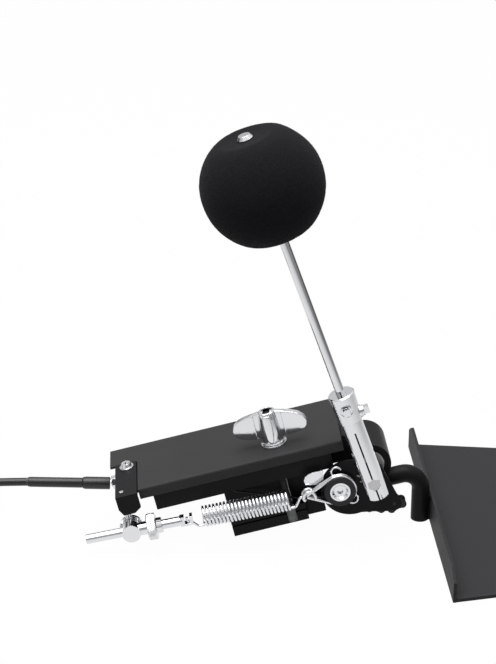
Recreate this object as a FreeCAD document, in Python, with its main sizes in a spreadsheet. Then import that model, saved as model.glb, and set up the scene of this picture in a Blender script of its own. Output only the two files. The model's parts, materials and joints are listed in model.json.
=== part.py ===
import FreeCAD, Part
import Sketcher
import math
import os

from FreeCAD import Placement, Rotation, Vector

# A cable-driven bass drum beater unit: an inclined steel frame that carries a shaft, a beater, a
# return spring and a chain, clamped on a gooseneck bar whose base plate goes under the drum.
#
# World frame: +Z up, +X towards the drum, +Y to the back. The origin is the middle of the base
# plate's underside, so the floor is z = 0.
# Unit frame: x along the inclined frame, y as the world's, z square to the frame, with its origin
# on the beater shaft's axis.

doc = FreeCAD.newDocument("BassDrumPedal")
sheet = doc.addObject("Spreadsheet::Sheet", "Sizes")
X_AXIS = Vector(1, 0, 0)
Y_AXIS = Vector(0, 1, 0)
Z_AXIS = Vector(0, 0, 1)

# alias, millimetres (or degrees), what it is
SIZES = [
    ("tilt", 13.5, "slope of the frame, degrees"),
    ("shaft_x", -57.0, "shaft axis from the flange's outer face"),
    ("shaft_height", 66.5, "shaft axis above the floor"),
    ("running_gap", 0.05, "radial clearance of a turning or sliding fit"),
    ("face_gap", 0.3, "clearance between faces that move past each other"),
    ("plate_length", 140.0, "base plate, flange to far edge"),
    ("plate_width", 276.0, "base plate along its flange"),
    ("frame_y", 8.0, "middle of the inclined frame from the middle of the plate"),
    ("plate_taper", 22.0, "how far each long edge draws in at the far edge"),
    ("plate_sheet", 3.0, "base plate thickness"),
    ("plate_bend", 2.0, "inside bend between plate and flange"),
    ("flange_rise", 27.0, "flange height above the floor"),
    ("flange_sheet", 2.6, "flange thickness"),
    ("flange_chamfer_run", 13.0, "length of the flange's end chamfers"),
    ("flange_chamfer_drop", 8.5, "height of the flange's end chamfers"),
    ("bar_radius", 8.0, "gooseneck bar"),
    ("bar_y", -6.0, "gooseneck bar's plane"),
    ("bar_drop", 27.5, "gooseneck bar's axis below the shaft, square to the frame"),
    ("bar_start", -124.0, "gooseneck bar's inner end along the frame"),
    ("bar_bend", 14.5, "gooseneck bend radius at the axis"),
    ("bar_foot", 1.0, "gooseneck bar's lower end above the floor"),
    ("weld_width", 8.0, "weld between bar and flange"),
    ("cover_left", -221.5, "cover's low end"),
    ("cover_right", -18.0, "cover's high end"),
    ("cover_half_width", 41.5, "cover, half its width"),
    ("cover_top", 38.0, "cover's top face above the shaft"),
    ("cover_sheet", 2.0, "cover thickness"),
    ("cover_skirt", 10.0, "cover's skirt depth"),
    ("cover_corner", 3.0, "cover's outer bend radius"),
    ("notch_length", 24.5, "cover's notch along the frame"),
    ("notch_back", 9.0, "cover's notch, its back edge"),
    ("frame_left", -213.3, "channel's low end"),
    ("frame_right", -30.0, "channel's high end"),
    ("frame_sheet", 2.5, "channel thickness"),
    ("frame_edge", 13.0, "channel's lower edge above the shaft"),
    ("strip_start", -186.0, "where the channel's sides begin"),
    ("receiver_left", -129.0, "receiver's low end"),
    ("receiver_right", -62.0, "receiver's high end"),
    ("receiver_top", 7.0, "receiver's top face"),
    ("receiver_floor_wall", 2.0, "receiver wall under the bar"),
    ("receiver_half_width", 14.0, "receiver, half its width round the bar"),
    ("jaw_front", -27.4, "clamp jaw's front face"),
    ("jaw_top", -21.0, "clamp jaw's top face"),
    ("jaw_slit", 1.5, "clamp slit"),
    ("riser_left", -93.0, "riser's low side"),
    ("riser_fillet", 8.0, "round between riser and receiver"),
    ("wing_bolt_at", -75.0, "wing bolt along the frame"),
    ("wing_bolt_y", -18.5, "wing bolt's plane"),
    ("wing_bolt_radius", 3.0, "wing bolt thread"),
    ("wing_bolt_end", -36.0, "wing bolt's lower end"),
    ("wing_washer_radius", 11.0, "wing bolt washer"),
    ("wing_washer_height", 2.0, "wing bolt washer thickness"),
    ("wing_hub_radius", 6.5, "wing bolt hub at its foot"),
    ("wing_hub_height", 27.0, "wing bolt hub"),
    ("wing_span", 63.0, "wing bolt, tip to tip"),
    ("wing_thickness", 6.0, "wing thickness"),
    ("wing_yaw", 12.0, "how far the wings are turned, degrees"),
    ("housing_radius", 19.0, "bearing housing"),
    ("housing_front", -26.0, "bearing housing's front face"),
    ("housing_back", 22.0, "bearing housing's back face"),
    ("bearing_outer", 13.0, "bearing outer radius"),
    ("bearing_inner", 5.0, "bearing bore radius"),
    ("bearing_ring", 2.0, "bearing ring thickness"),
    ("bearing_width", 8.0, "bearing width"),
    ("shaft_front", -62.5, "shaft's front end"),
    ("shaft_flats", 10.0, "shaft hexagon across flats"),
    ("collar_radius", 9.0, "shaft collar"),
    ("collar_width", 7.0, "shaft collar width"),
    ("rocker_front", -45.6, "rocker plate's front face"),
    ("rocker_sheet", 3.5, "rocker plate thickness"),
    ("rocker_radius", 26.0, "rocker plate's disc"),
    ("rocker_disc_at", -20.0, "rocker disc centre along the frame"),
    ("rocker_disc_up", -7.0, "rocker disc centre above the shaft"),
    ("pivot_at", -29.6, "spring pivot along the frame"),
    ("pivot_up", -3.0, "spring pivot above the shaft"),
    ("pivot_ring_radius", 13.5, "ring on the spring pivot"),
    ("pivot_ring_width", 10.0, "ring width"),
    ("pivot_bush_radius", 8.7, "screw head inside the ring"),
    ("pivot_stud_radius", 3.0, "pivot screw shank"),
    ("anchor_at", 12.8, "chain anchor along the frame"),
    ("anchor_up", -32.2, "chain anchor above the shaft"),
    ("anchor_ear", 6.5, "round ear at the chain anchor"),
    ("chain_y", -32.5, "chain's plane"),
    ("chain_pitch", 9.525, "chain pitch"),
    ("chain_roller", 3.1, "chain roller radius"),
    ("chain_width", 5.6, "chain between its inner plates"),
    ("chain_plate", 1.0, "chain plate thickness"),
    ("chain_plate_radius", 4.1, "chain plate's round ends"),
    ("chain_pin", 1.6, "chain pin radius"),
    ("spring_y", -51.0, "spring's plane"),
    ("swivel_at", -211.0, "swivel along the frame"),
    ("swivel_up", 5.6, "swivel above the shaft"),
    ("spring_start", 62.0, "first coil from the swivel"),
    ("spring_length", 75.0, "coil length"),
    ("spring_mean", 8.35, "coil radius at the wire's middle"),
    ("spring_wire", 1.12, "spring wire radius"),
    ("bail_spacing", 2.6, "between the bail's two strands"),
    ("spring_turns", 24.0, "turns"),
    ("hook_run", 5.0, "how far the spring's end runs on before it turns in"),
    ("hook_reach", 15.0, "spring's straight end from its last coil"),
    ("hook_drop", 3.2, "hook below the rod's axis where it enters the eye"),
    ("hook_set", 2.0, "hook's place on either side of the rod's eye"),
    ("hook_bend", 2.5, "spring end's first bend radius"),
    ("hook_turn_in", 3.0, "spring end's second bend radius"),
    ("hook_tip_bend", 1.3, "hook's own bend radius"),
    ("rod_radius", 4.2, "tension rod"),
    ("eye_flat_length", 11.0, "tension rod's flattened end"),
    ("eye_flat_half", 3.2, "half that end's thickness"),
    ("eye_end", 3.0, "flattened end beyond the eye"),
    ("eye_slot_length", 4.8, "eye's opening along the rod"),
    ("eye_slot_end", 0.6, "eye's opening beyond its centre"),
    ("eye_slot_floor", -2.6, "eye's opening, its lower edge from the rod's axis"),
    ("nut_nose_radius", 6.8, "thumb nut's nose"),
    ("nut_nose_length", 5.0, "length of the thumb nut's nose"),
    ("barrel_nose_radius", 5.8, "swivel barrel's nose towards the nut"),
    ("bail_grip", 14.5, "bail's grip beyond the spring's last coil"),
    ("bail_lug", 3.0, "ring that holds the bail to the spring"),
    ("rod_tail", 39.5, "tension rod beyond the swivel"),
    ("rod_eye", 50.5, "tension rod's eye from the swivel"),
    ("nut_at", 14.0, "thumb nut's face from the swivel"),
    ("nut_radius", 11.5, "thumb nut"),
    ("nut_width", 8.0, "thumb nut width"),
    ("barrel_radius", 8.0, "swivel barrel"),
    ("barrel_width", 13.0, "swivel barrel width"),
    ("journal_radius", 4.0, "swivel barrel's journal"),
    ("post_radius", 2.9, "swivel post"),
    ("post_y", -42.8, "swivel post's plane"),
    ("eye_radius", 10.0, "swivel eye"),
    ("eye_width", 3.0, "swivel eye width"),
    ("hub_y", -54.0, "beater's plane"),
    ("beater_lean", 6.0, "beater's lean from square to the frame, degrees"),
    ("hub_radius", 9.4, "beater hub"),
    ("rocker_boss", 11.0, "rocker plate's boss round the shaft"),
    ("hub_back", 8.1, "flat on the hub's back, from its axis, beside the rocker plate"),
    ("hub_foot", 15.0, "beater hub below the shaft"),
    ("hub_collar_radius", 11.5, "beater hub collar at its top"),
    ("hub_collar_foot", 10.4, "beater hub collar at its lower edge"),
    ("hub_collar_start", 62.0, "beater hub collar's lower edge"),
    ("hub_top", 88.5, "beater hub's top face"),
    ("hub_slit", 1.4, "beater hub slit"),
    ("hub_slit_top", 53.0, "top of the beater hub slit"),
    ("rod_bore_floor", 54.0, "floor of the beater rod's bore"),
    ("beater_rod_radius", 4.0, "beater rod"),
    ("head_distance", 285.0, "beater head centre from the shaft"),
    ("head_radius", 50.5, "beater head"),
    ("head_flat", 44.0, "half the beater head's height at its flat faces"),
    ("head_edge", 7.0, "round at the rims of the head's flat faces"),
    ("dish_radius", 40.0, "sphere that dishes the head's top"),
    ("cap_sink", 2.0, "cap's seat below the head's flat face"),
    ("cap_radius", 6.8, "cap on the beater head"),
    ("cap_height", 3.0, "cap height"),
    ("clamp_height", 27.0, "clamp bolt above the shaft, along the beater"),
    ("height_bolt_height", 67.0, "rod height bolt above the shaft, along the beater"),
    ("angle_bolt_height", 76.0, "rod angle bolt above the shaft, along the beater"),
    ("clamp_screw_length", 13.5, "hub's headless clamp screw"),
    ("rim_radius", 5.2, "seat of the rod height bolt"),
    ("rim_reach", 11.6, "rod height bolt's seat from the hub's axis"),
    ("recess_radius", 5.6, "recess round the rod angle bolt"),
    ("recess_floor", 9.0, "floor of that recess from the hub's axis"),
    ("bolt_flange", 4.6, "square-head bolt's flange radius"),
    ("bolt_head", 5.2, "square-head bolt's head height"),
    ("bolt_radius", 3.0, "square-head bolt thread"),
    ("bolt_square", 5.8, "square-head bolt across flats"),
    ("bracket_left", -216.5, "cable bracket's low edge"),
    ("bracket_right", -197.5, "cable bracket's high edge"),
    ("bracket_front", -50.5, "cable bracket's front face"),
    ("bracket_back", 8.0, "cable bracket's back edge"),
    ("bracket_sheet", 2.5, "cable bracket thickness"),
    ("cheek_sheet", 3.0, "cable bracket's end cheek thickness"),
    ("bracket_drop", 15.0, "cable bracket's front tongue depth"),
    ("bracket_screw_at", -206.0, "bracket screw along the frame"),
    ("bracket_screw_y", 0.0, "bracket screw's plane"),
    ("screw_head_radius", 5.2, "bracket screw head"),
    ("screw_head_height", 4.5, "bracket screw head height"),
    ("screw_shank", 2.5, "bracket screw shank radius"),
    ("cable_y", -4.0, "cable's plane where it enters"),
    ("cable_up", 30.0, "cable's axis above the shaft where it enters"),
    ("cable_radius", 3.55, "cable jacket"),
    ("wire_radius", 0.9, "inner wire"),
    ("ferrule_radius", 3.9, "threaded ferrule"),
    ("lock_nut_flats", 10.0, "lock nut across flats"),
    ("lock_nut_width", 5.0, "outer lock nut width"),
    ("inner_nut_width", 3.5, "inner lock nut width"),
    ("sleeve_outer", 5.45, "first sleeve radius"),
    ("sleeve_outer_length", 24.0, "first sleeve length"),
    ("sleeve_inner", 4.4, "second sleeve radius"),
    ("sleeve_inner_length", 48.0, "second sleeve length"),
    ("stud_at", -75.5, "levelling screw along the frame"),
    ("stud_y", -31.8, "levelling screw's plane"),
    ("stud_radius", 2.9, "levelling screw"),
    ("stud_nut_flats", 8.6, "levelling screw's nut across flats"),
    ("stud_nut_height", 12.0, "levelling screw's nut height"),
    ("stud_tip_radius", 4.0, "rubber tip"),
    ("stud_tip_top", -17.5, "rubber tip's upper face"),
    ("stud_tip_bottom", -33.0, "rubber tip's lower face"),
    ("cable_rise", 3.0, "how far the cable rises as it leaves, degrees"),
    ("coil_x", -518.0, "stored coil's centre"),
    ("coil_y", 74.0, "stored coil's centre"),
    ("coil_mean", 39.0, "stored coil, radius at the middle of its turns"),
    ("end_ferrule_length", 24.0, "ferrule on the cable's far end"),
    ("end_wire_length", 14.0, "bare wire on the cable's far end"),
    ("end_skirt_length", 14.0, "thick part of that ferrule, which carries the nut"),
    ("nipple_radius", 2.5, "barrel nipple on the wire's end"),
    ("nipple_length", 5.0, "barrel nipple length"),
]


def fill_sheet():
    """Writes every size with its alias and its meaning."""
    for row, (alias, value, meaning) in enumerate(SIZES, start=1):
        sheet.set(f"A{row}", alias)
        sheet.set(f"B{row}", str(value))
        sheet.setAlias(f"B{row}", alias)
        sheet.set(f"C{row}", meaning)
    doc.recompute()


fill_sheet()


class Term:
    """A size or a sum of sizes: its number, and the sheet's formula for it."""

    def __init__(self, number, formula):
        self.number = float(number)
        self.formula = formula

    @staticmethod
    def of(thing):
        """Takes a Term as it is and makes one of a plain number."""
        return thing if isinstance(thing, Term) else Term(thing, repr(float(thing)))

    def join(self, other, sign, number):
        """Makes the Term of two others and the sign between them."""
        return Term(number, f"({self.formula} {sign} {Term.of(other).formula})")

    def __add__(self, other):
        return self.join(other, "+", self.number + Term.of(other).number)

    def __sub__(self, other):
        return self.join(other, "-", self.number - Term.of(other).number)

    def __mul__(self, other):
        return self.join(other, "*", self.number * Term.of(other).number)

    def __truediv__(self, other):
        return self.join(other, "/", self.number / Term.of(other).number)

    def __radd__(self, other):
        return Term.of(other) + self

    def __rsub__(self, other):
        return Term.of(other) - self

    def __rmul__(self, other):
        return Term.of(other) * self

    def __neg__(self):
        return Term.of(0) - self

    def __float__(self):
        return self.number


class Sizes:
    """Gives each alias of the sheet as a Term."""


p = Sizes()
for alias, value, meaning in SIZES:
    setattr(p, alias, Term(value, f"Sizes.{alias}"))

flange_x = -p.plate_length / 2
shaft_centre = Vector(float(flange_x + p.shaft_x), float(p.frame_y), float(p.shaft_height))
UNIT = Placement(shaft_centre, Rotation(Y_AXIS, -float(p.tilt)))
BEATER = UNIT * Placement(Vector(0, float(p.hub_y), 0), Rotation(Y_AXIS, -float(p.beater_lean)))
SWIVEL_CENTRE = Vector(float(p.swivel_at), float(p.spring_y), float(p.swivel_up))
PIVOT_CENTRE = Vector(float(p.pivot_at), float(p.spring_y), float(p.pivot_up))
SPRING = UNIT * Placement(SWIVEL_CENTRE, Rotation(X_AXIS, PIVOT_CENTRE - SWIVEL_CENTRE))
WORLD = Placement()

# Rotations that take a cylinder's own +Z to another axis.
ALONG = {
    "z": Rotation(),
    "x": Rotation(Y_AXIS, 90),
    "y": Rotation(X_AXIS, -90),
}
nodes = []


def bind(thing, **terms):
    """Ties properties to the sheet; a double underscore in a name stands for a point."""
    for name, term in terms.items():
        thing.setExpression(name.replace("__", "."), Term.of(term).formula)


def block(name, x0, x1, y0, y1, z0, z1):
    """A box between two corners."""
    box = doc.addObject("Part::Box", name)
    bind(box, Length=Term.of(x1) - x0, Width=Term.of(y1) - y0, Height=Term.of(z1) - z0)
    bind(box, Placement__Base__x=x0, Placement__Base__y=y0, Placement__Base__z=z0)
    return box


def bar(name, axis, radius, length, at):
    """A cylinder that starts at a point and runs along +x, +y or +z."""
    cylinder = doc.addObject("Part::Cylinder", name)
    cylinder.Placement = Placement(Vector(*[float(v) for v in at]), ALONG[axis])
    bind(cylinder, Radius=radius, Height=length)
    bind(cylinder, Placement__Base__x=at[0], Placement__Base__y=at[1], Placement__Base__z=at[2])
    return cylinder


def prism(name, axis, flats, length, at, sides=6):
    """A prism with a regular base of the given width across its flats."""
    shape = doc.addObject("Part::Prism", name)
    shape.Polygon = sides
    turn = Rotation(Z_AXIS, 180.0 / sides)
    shape.Placement = Placement(Vector(*[float(v) for v in at]), ALONG[axis] * turn)
    bind(shape, Circumradius=Term.of(flats) / (2 * math.cos(math.pi / sides)), Height=length)
    bind(shape, Placement__Base__x=at[0], Placement__Base__y=at[1], Placement__Base__z=at[2])
    return shape


def cone(name, axis, radius_start, radius_end, length, at):
    """A truncated cone along an axis."""
    shape = doc.addObject("Part::Cone", name)
    shape.Placement = Placement(Vector(*[float(v) for v in at]), ALONG[axis])
    bind(shape, Radius1=radius_start, Radius2=radius_end, Height=length)
    bind(shape, Placement__Base__x=at[0], Placement__Base__y=at[1], Placement__Base__z=at[2])
    return shape


def cut(name, base, *tools):
    """Takes the tools away from the base, one after the other."""
    for index, tool in enumerate(tools):
        part = doc.addObject("Part::Cut", f"{name}_cut{index}")
        part.Base = base
        part.Tool = tool
        base = part
    return base


def fuse(name, *shapes):
    """Joins shapes into one solid."""
    part = doc.addObject("Part::MultiFuse", f"{name}_fuse")
    part.Shapes = list(shapes)
    part.Refine = True
    return part


def plain(name, shape):
    """Holds a shape that was made with Part's own functions."""
    feature = doc.addObject("Part::Feature", name)
    feature.Shape = shape
    return feature


def body_of(name):
    """An empty PartDesign body."""
    return doc.addObject("PartDesign::Body", name)


def outline(body, name, role, corners):
    """A closed sketch of straight lines, each corner dimensioned from the origin."""
    sketch = body.newObject("Sketcher::SketchObject", name)
    plane = [feature for feature in body.Origin.OriginFeatures if feature.Role == role][0]
    sketch.AttachmentSupport = [(plane, "")]
    sketch.MapMode = "FlatFace"
    corners = [(Term.of(x), Term.of(y)) for x, y in corners]
    points = [Vector(float(x), float(y), 0) for x, y in corners]
    for start, end in zip(points, points[1:] + points[:1]):
        sketch.addGeometry(Part.LineSegment(start, end), False)
    count = len(points)
    for index in range(count):
        sketch.addConstraint(Sketcher.Constraint("Coincident", index, 2, (index + 1) % count, 1))
    for index, (x, y) in enumerate(corners):
        for kind, term in (("DistanceX", x), ("DistanceY", y)):
            if abs(float(term)) < 1e-9:
                axis = -2 if kind == "DistanceX" else -1
                sketch.addConstraint(Sketcher.Constraint("PointOnObject", index, 1, axis))
                continue
            made = sketch.addConstraint(Sketcher.Constraint(kind, -1, 1, index, 1, float(term)))
            label = f"{kind.lower()}_{index}"
            sketch.renameConstraint(made, label)
            sketch.setExpression(f"Constraints.{label}", term.formula)
    return sketch


def pad(body, name, role, corners, length, both=True):
    """Pads an outline, to both sides of its plane or along the plane's normal."""
    feature = body.newObject("PartDesign::Pad", f"{name}_pad")
    feature.Profile = outline(body, name, role, corners)
    feature.Midplane = both
    bind(feature, Length=length)
    return feature


def node(label, frame, *solids):
    """Files the solids of one sub-part under its name, in its place."""
    group = doc.addObject("Part::Compound", label)
    group.Label = label
    group.Links = list(solids)
    group.Placement = frame
    nodes.append(group)
    return group


def edges_where(feature, test):
    """Names the edges of a feature whose middle passes a test."""
    doc.recompute()
    names = []
    for index, edge in enumerate(feature.Shape.Edges, start=1):
        middle = edge.valueAt((edge.FirstParameter + edge.LastParameter) / 2)
        if test(edge, middle):
            names.append(f"Edge{index}")
    return names


def rounded(name, feature, radius, test):
    """Rounds the edges of a feature that pass a test."""
    names = edges_where(feature, test)
    part = doc.addObject("Part::Fillet", f"{name}_round")
    part.Base = feature
    part.Edges = [(int(edge[4:]), float(radius), float(radius)) for edge in names]
    return part


def bevelled(name, feature, size, test):
    """Chamfers the edges of a feature that pass a test."""
    names = edges_where(feature, test)
    part = doc.addObject("Part::Chamfer", f"{name}_bevel")
    part.Base = feature
    part.Edges = [(int(edge[4:]), float(size), float(size)) for edge in names]
    return part


def swept(path, radius):
    """A round bar along a wire of lines and tangent arcs."""
    edge = path.OrderedEdges[0]
    start = edge.valueAt(edge.FirstParameter)
    if (start - path.OrderedVertexes[0].Point).Length > 1e-6:
        start = edge.valueAt(edge.LastParameter)
    direction = path.OrderedEdges[0].tangentAt(path.OrderedEdges[0].FirstParameter)
    section = Part.Wire(Part.makeCircle(float(radius), start, direction))
    return path.makePipeShell([section], True, False)


def bent_path(points, radii=None):
    """A wire of straight runs joined by tangent arcs; the largest arcs that fit if none are given."""
    edges = []
    last = points[0]
    for index in range(1, len(points) - 1):
        before = points[index - 1] - points[index]
        after = points[index + 1] - points[index]
        half_turn = (math.pi - before.getAngle(after)) / 2
        reach = 0.45 * min(before.Length, after.Length)
        if radii:
            reach = radii[index - 1] * math.tan(half_turn)
        before.normalize()
        after.normalize()
        radius = reach / math.tan(half_turn)
        start = points[index] + before * reach
        end = points[index] + after * reach
        inward = before + after
        inward.normalize()
        middle = points[index] + inward * (radius / math.cos(half_turn) - radius)
        edges.append(Part.LineSegment(last, start).toShape())
        edges.append(Part.Arc(start, middle, end).toShape())
        last = end
    edges.append(Part.LineSegment(last, points[-1]).toShape())
    return Part.Wire(edges)


def base_plate():
    """The plate that goes under the drum, and its upright flange with chamfered ends."""
    half = p.plate_width / 2
    body = body_of("PlateBody")
    sheet_corners = [
        (flange_x, -half),
        (-flange_x, p.plate_taper - half),
        (-flange_x, half - p.plate_taper),
        (flange_x, half),
    ]
    pad(body, "PlateOutline", "XY_Plane", sheet_corners, p.plate_sheet, both=False)
    flange = body_of("FlangeBody")
    shoulder = p.flange_rise - p.flange_chamfer_drop
    rise = [
        (-half, 0),
        (half, 0),
        (half, shoulder),
        (half - p.flange_chamfer_run, p.flange_rise),
        (p.flange_chamfer_run - half, p.flange_rise),
        (-half, shoulder),
    ]
    pad(flange, "FlangeOutline", "YZ_Plane", rise, p.flange_sheet, both=False)
    bind(flange, Placement__Base__x=flange_x)
    whole = fuse("plate", body, flange)
    inner_x = float(flange_x + p.flange_sheet)

    def inner_corner(edge, middle):
        return edge.Length > float(half) and abs(middle.x - inner_x) < 0.01 and 1 < middle.z < 10

    node("base_plate", WORLD, rounded("plate", whole, p.plate_bend, inner_corner))


def gooseneck():
    """The bar: straight along the frame, then bent down to the plate's flange and welded to it."""
    slope = math.radians(float(p.tilt))
    along = Vector(math.cos(slope), 0, math.sin(slope))
    start = UNIT.multVec(Vector(float(p.bar_start), float(p.bar_y), -float(p.bar_drop)))
    foot_x = float(flange_x - p.bar_radius - p.face_gap)
    reach = (foot_x - start.x) / along.x
    corner = start + along * reach
    foot = Vector(foot_x, start.y, float(p.bar_foot))
    path = bent_path([start, corner, foot], [float(p.bar_bend)])
    bead_corner = Vector(foot_x, start.y - float(p.weld_width) / 2, float(p.bar_foot))
    bead_height = float(p.flange_rise - p.bar_foot - p.flange_chamfer_drop)
    bead = Part.makeBox(float(flange_x) - foot_x, float(p.weld_width), bead_height, bead_corner)
    solid = swept(path, p.bar_radius).fuse(bead)
    node("gooseneck_bar", WORLD, plain("GooseneckSolid", solid))


def cover():
    """The pressed cover: a shallow channel with round bends and a notch for the cable bracket."""
    half = p.cover_half_width
    top = p.cover_top
    body = body_of("CoverBody")
    section = [
        (-half, top - p.cover_skirt),
        (-half, top),
        (half, top),
        (half, top - p.cover_skirt),
        (half - p.cover_sheet, top - p.cover_skirt),
        (half - p.cover_sheet, top - p.cover_sheet),
        (p.cover_sheet - half, top - p.cover_sheet),
        (p.cover_sheet - half, top - p.cover_skirt),
    ]
    pad(body, "CoverSection", "YZ_Plane", section, p.cover_right - p.cover_left, both=False)
    bind(body, Placement__Base__x=p.cover_left)
    notch = block(
        "CoverNotch",
        p.cover_left - 1,
        p.cover_left + p.notch_length,
        -half - 1,
        p.notch_back,
        top - p.cover_skirt - 1,
        top + 1,
    )
    hole = bar(
        "CoverBoltHole",
        "z",
        p.wing_bolt_radius + p.running_gap * 4,
        p.cover_sheet + 2,
        (p.wing_bolt_at, p.wing_bolt_y, top - p.cover_sheet - 1),
    )

    def outer_bend(edge, middle):
        long_edge = edge.Length > 100
        return long_edge and abs(abs(middle.y) - float(half)) < 0.01 and abs(middle.z - float(top)) < 0.01

    bent = rounded("cover", body, p.cover_corner, outer_bend)
    node("top_cover", UNIT, cut("cover", bent, notch, hole))


def channel():
    """The channel under the cover, whose sides start beyond the thumb nut."""
    half = p.cover_half_width - p.cover_sheet - p.face_gap / 3
    top = p.cover_top - p.cover_sheet
    deck = block("Deck", p.frame_left, p.frame_right, -half, half, top - p.frame_sheet, top)
    front = block(
        "FrontSide", p.strip_start, p.frame_right, -half, p.frame_sheet - half, p.frame_edge, top
    )
    back = block("BackSide", p.frame_left, p.frame_right, half - p.frame_sheet, half, p.frame_edge, top)
    bolt_hole = bar(
        "DeckBoltHole",
        "z",
        p.wing_bolt_radius + p.running_gap * 4,
        p.frame_sheet + 2,
        (p.wing_bolt_at, p.wing_bolt_y, top - p.frame_sheet - 1),
    )
    stud_hole = bar(
        "DeckStudHole",
        "z",
        p.stud_radius + p.running_gap,
        p.frame_sheet + 2,
        (p.stud_at, p.stud_y, top - p.frame_sheet - 1),
    )
    screw_hole = bar(
        "DeckScrewHole",
        "z",
        p.screw_shank + p.running_gap,
        p.frame_sheet + 2,
        (p.bracket_screw_at, p.bracket_screw_y, top - p.frame_sheet - 1),
    )
    nut_reach = p.lock_nut_flats / 2 + 1
    nut_slot = block(
        "DeckNutSlot",
        p.frame_left - 1,
        p.bracket_left + p.cheek_sheet + p.inner_nut_width + 0.8,
        p.cable_y - nut_reach,
        p.cable_y + nut_reach,
        top - p.frame_sheet - 1,
        top + 1,
    )
    whole = fuse("channel", deck, front, back)
    node("channel_frame", UNIT, cut("channel", whole, bolt_hole, stud_hole, screw_hole, nut_slot))


def receiver():
    """The clamp that holds the gooseneck bar: a body round the bar, a riser and a slit jaw."""
    deck = p.cover_top - p.cover_sheet - p.frame_sheet
    floor = -p.bar_drop - p.bar_radius - p.receiver_floor_wall
    back = p.bar_y + p.receiver_half_width
    front = p.bar_y - p.bar_radius - p.face_gap
    bore = p.bar_radius + p.running_gap
    main = block("ReceiverMain", p.receiver_left, p.receiver_right, front, back, floor, p.receiver_top)
    riser = block("Riser", p.riser_left, p.receiver_right, front, back, p.receiver_top, deck)
    jaw = block("Jaw", p.receiver_left, p.receiver_right, p.jaw_front, front, floor, p.jaw_top)
    shape = fuse("receiver", main, riser, jaw)
    start = (p.bar_start - 1, p.bar_y, -p.bar_drop)
    socket = bar("Socket", "x", bore, p.receiver_right - p.bar_start + 2, start)
    slit = block(
        "Slit",
        p.receiver_left - 1,
        p.receiver_right + 1,
        p.jaw_front - 1,
        p.bar_y,
        -p.bar_drop - p.jaw_slit / 2,
        -p.bar_drop + p.jaw_slit / 2,
    )
    bolt = bar(
        "ReceiverBoltHole",
        "z",
        p.wing_bolt_radius + p.running_gap,
        p.jaw_top - floor + 2,
        (p.wing_bolt_at, p.wing_bolt_y, floor - 1),
    )

    def riser_root(edge, middle):
        level = abs(middle.z - float(p.receiver_top)) < 0.01
        return level and abs(middle.x - float(p.riser_left)) < 0.01

    softened = rounded("receiver", shape, p.riser_fillet, riser_root)
    node("receiver_block", UNIT, cut("receiver", softened, socket, slit, bolt))


def wing_bolt():
    """The wing bolt with its washer: a turned hub, two bevelled wings and a long thread."""
    seat = p.cover_top + p.wing_washer_height
    at = (p.wing_bolt_at, p.wing_bolt_y, p.cover_top)
    washer = bar("WasherDisc", "z", p.wing_washer_radius, p.wing_washer_height, at)
    eye = bar("WasherEye", "z", p.wing_bolt_radius + p.running_gap * 4, p.wing_washer_height, at)
    node("wing_bolt_washer", UNIT, cut("washer", washer, eye))
    turn = Rotation(Z_AXIS, -float(p.wing_yaw))
    frame = UNIT * Placement(Vector(float(at[0]), float(at[1]), float(seat)), turn)
    half = p.wing_span / 2
    hub = cone("WingHub", "z", p.wing_hub_radius, p.wing_hub_radius - 1.5, p.wing_hub_height, (0, 0, 0))
    flare = cone("WingFlare", "z", p.wing_hub_radius + 2.5, p.wing_hub_radius, 4, (0, 0, 0))
    thread = bar("WingThread", "z", p.wing_bolt_radius, seat - p.wing_bolt_end, (0, 0, p.wing_bolt_end - seat))
    wings = []
    for side in (-1, 1):
        body = body_of("WingLeft" if side < 0 else "WingRight")
        corners = [
            (side * 3.0, 5.0),
            (side * (half - 13.0), 6.0),
            (side * (half - 5.0), 9.5),
            (side * half, 15.5),
            (side * (half - 1.0), 22.0),
            (side * (half - 6.5), 26.0),
            (side * (half - 14.0), 25.0),
            (side * (p.wing_hub_radius + 2.0), 17.0),
            (side * 3.0, 17.0),
        ]
        pad(body, f"WingOutline{side + 1}", "XZ_Plane", corners, p.wing_thickness)
        wings.append(body)
    whole = fuse("wing_bolt", hub, flare, thread, *wings)

    def wing_rim(edge, middle):
        far = abs(middle.x) > float(p.wing_hub_radius) + 2.5
        return far and abs(abs(middle.y) - float(p.wing_thickness) / 2) < 0.01 and edge.Length > 2

    node("wing_bolt", frame, bevelled("wing_bolt", whole, 1.4, wing_rim))


def housing():
    """The bearing housing, its arms up to the channel, and its two ball bearings."""
    length = p.housing_back - p.housing_front
    tube = bar("HousingTube", "y", p.housing_radius, length, (0, p.housing_front, 0))
    deck = p.cover_top - p.cover_sheet - p.frame_sheet
    arm = block(
        "HousingArm", p.frame_right - 12, -6, p.housing_front, p.housing_back, p.housing_radius / 2, deck
    )
    bore = bar("HousingBore", "y", p.bearing_outer, length + 2, (0, p.housing_front - 1, 0))
    node("bearing_housing", UNIT, cut("housing", fuse("housing", tube, arm), bore))
    starts = {"front": p.housing_front, "back": p.housing_back - p.bearing_width}
    for name, start in starts.items():
        width = p.bearing_width
        outer = bar(f"Outer_{name}", "y", p.bearing_outer, width, (0, start, 0))
        outer_bore = bar(
            f"OuterBore_{name}", "y", p.bearing_outer - p.bearing_ring, width, (0, start, 0)
        )
        node(f"bearing_outer_{name}", UNIT, cut(f"outer_{name}", outer, outer_bore))
        shield = bar(
            f"Inner_{name}",
            "y",
            p.bearing_outer - p.bearing_ring - p.running_gap,
            width - p.face_gap,
            (0, start + p.face_gap / 2, 0),
        )
        inner_bore = bar(f"InnerBore_{name}", "y", p.bearing_inner, width, (0, start, 0))
        node(f"bearing_inner_{name}", UNIT, cut(f"inner_{name}", shield, inner_bore))


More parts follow.
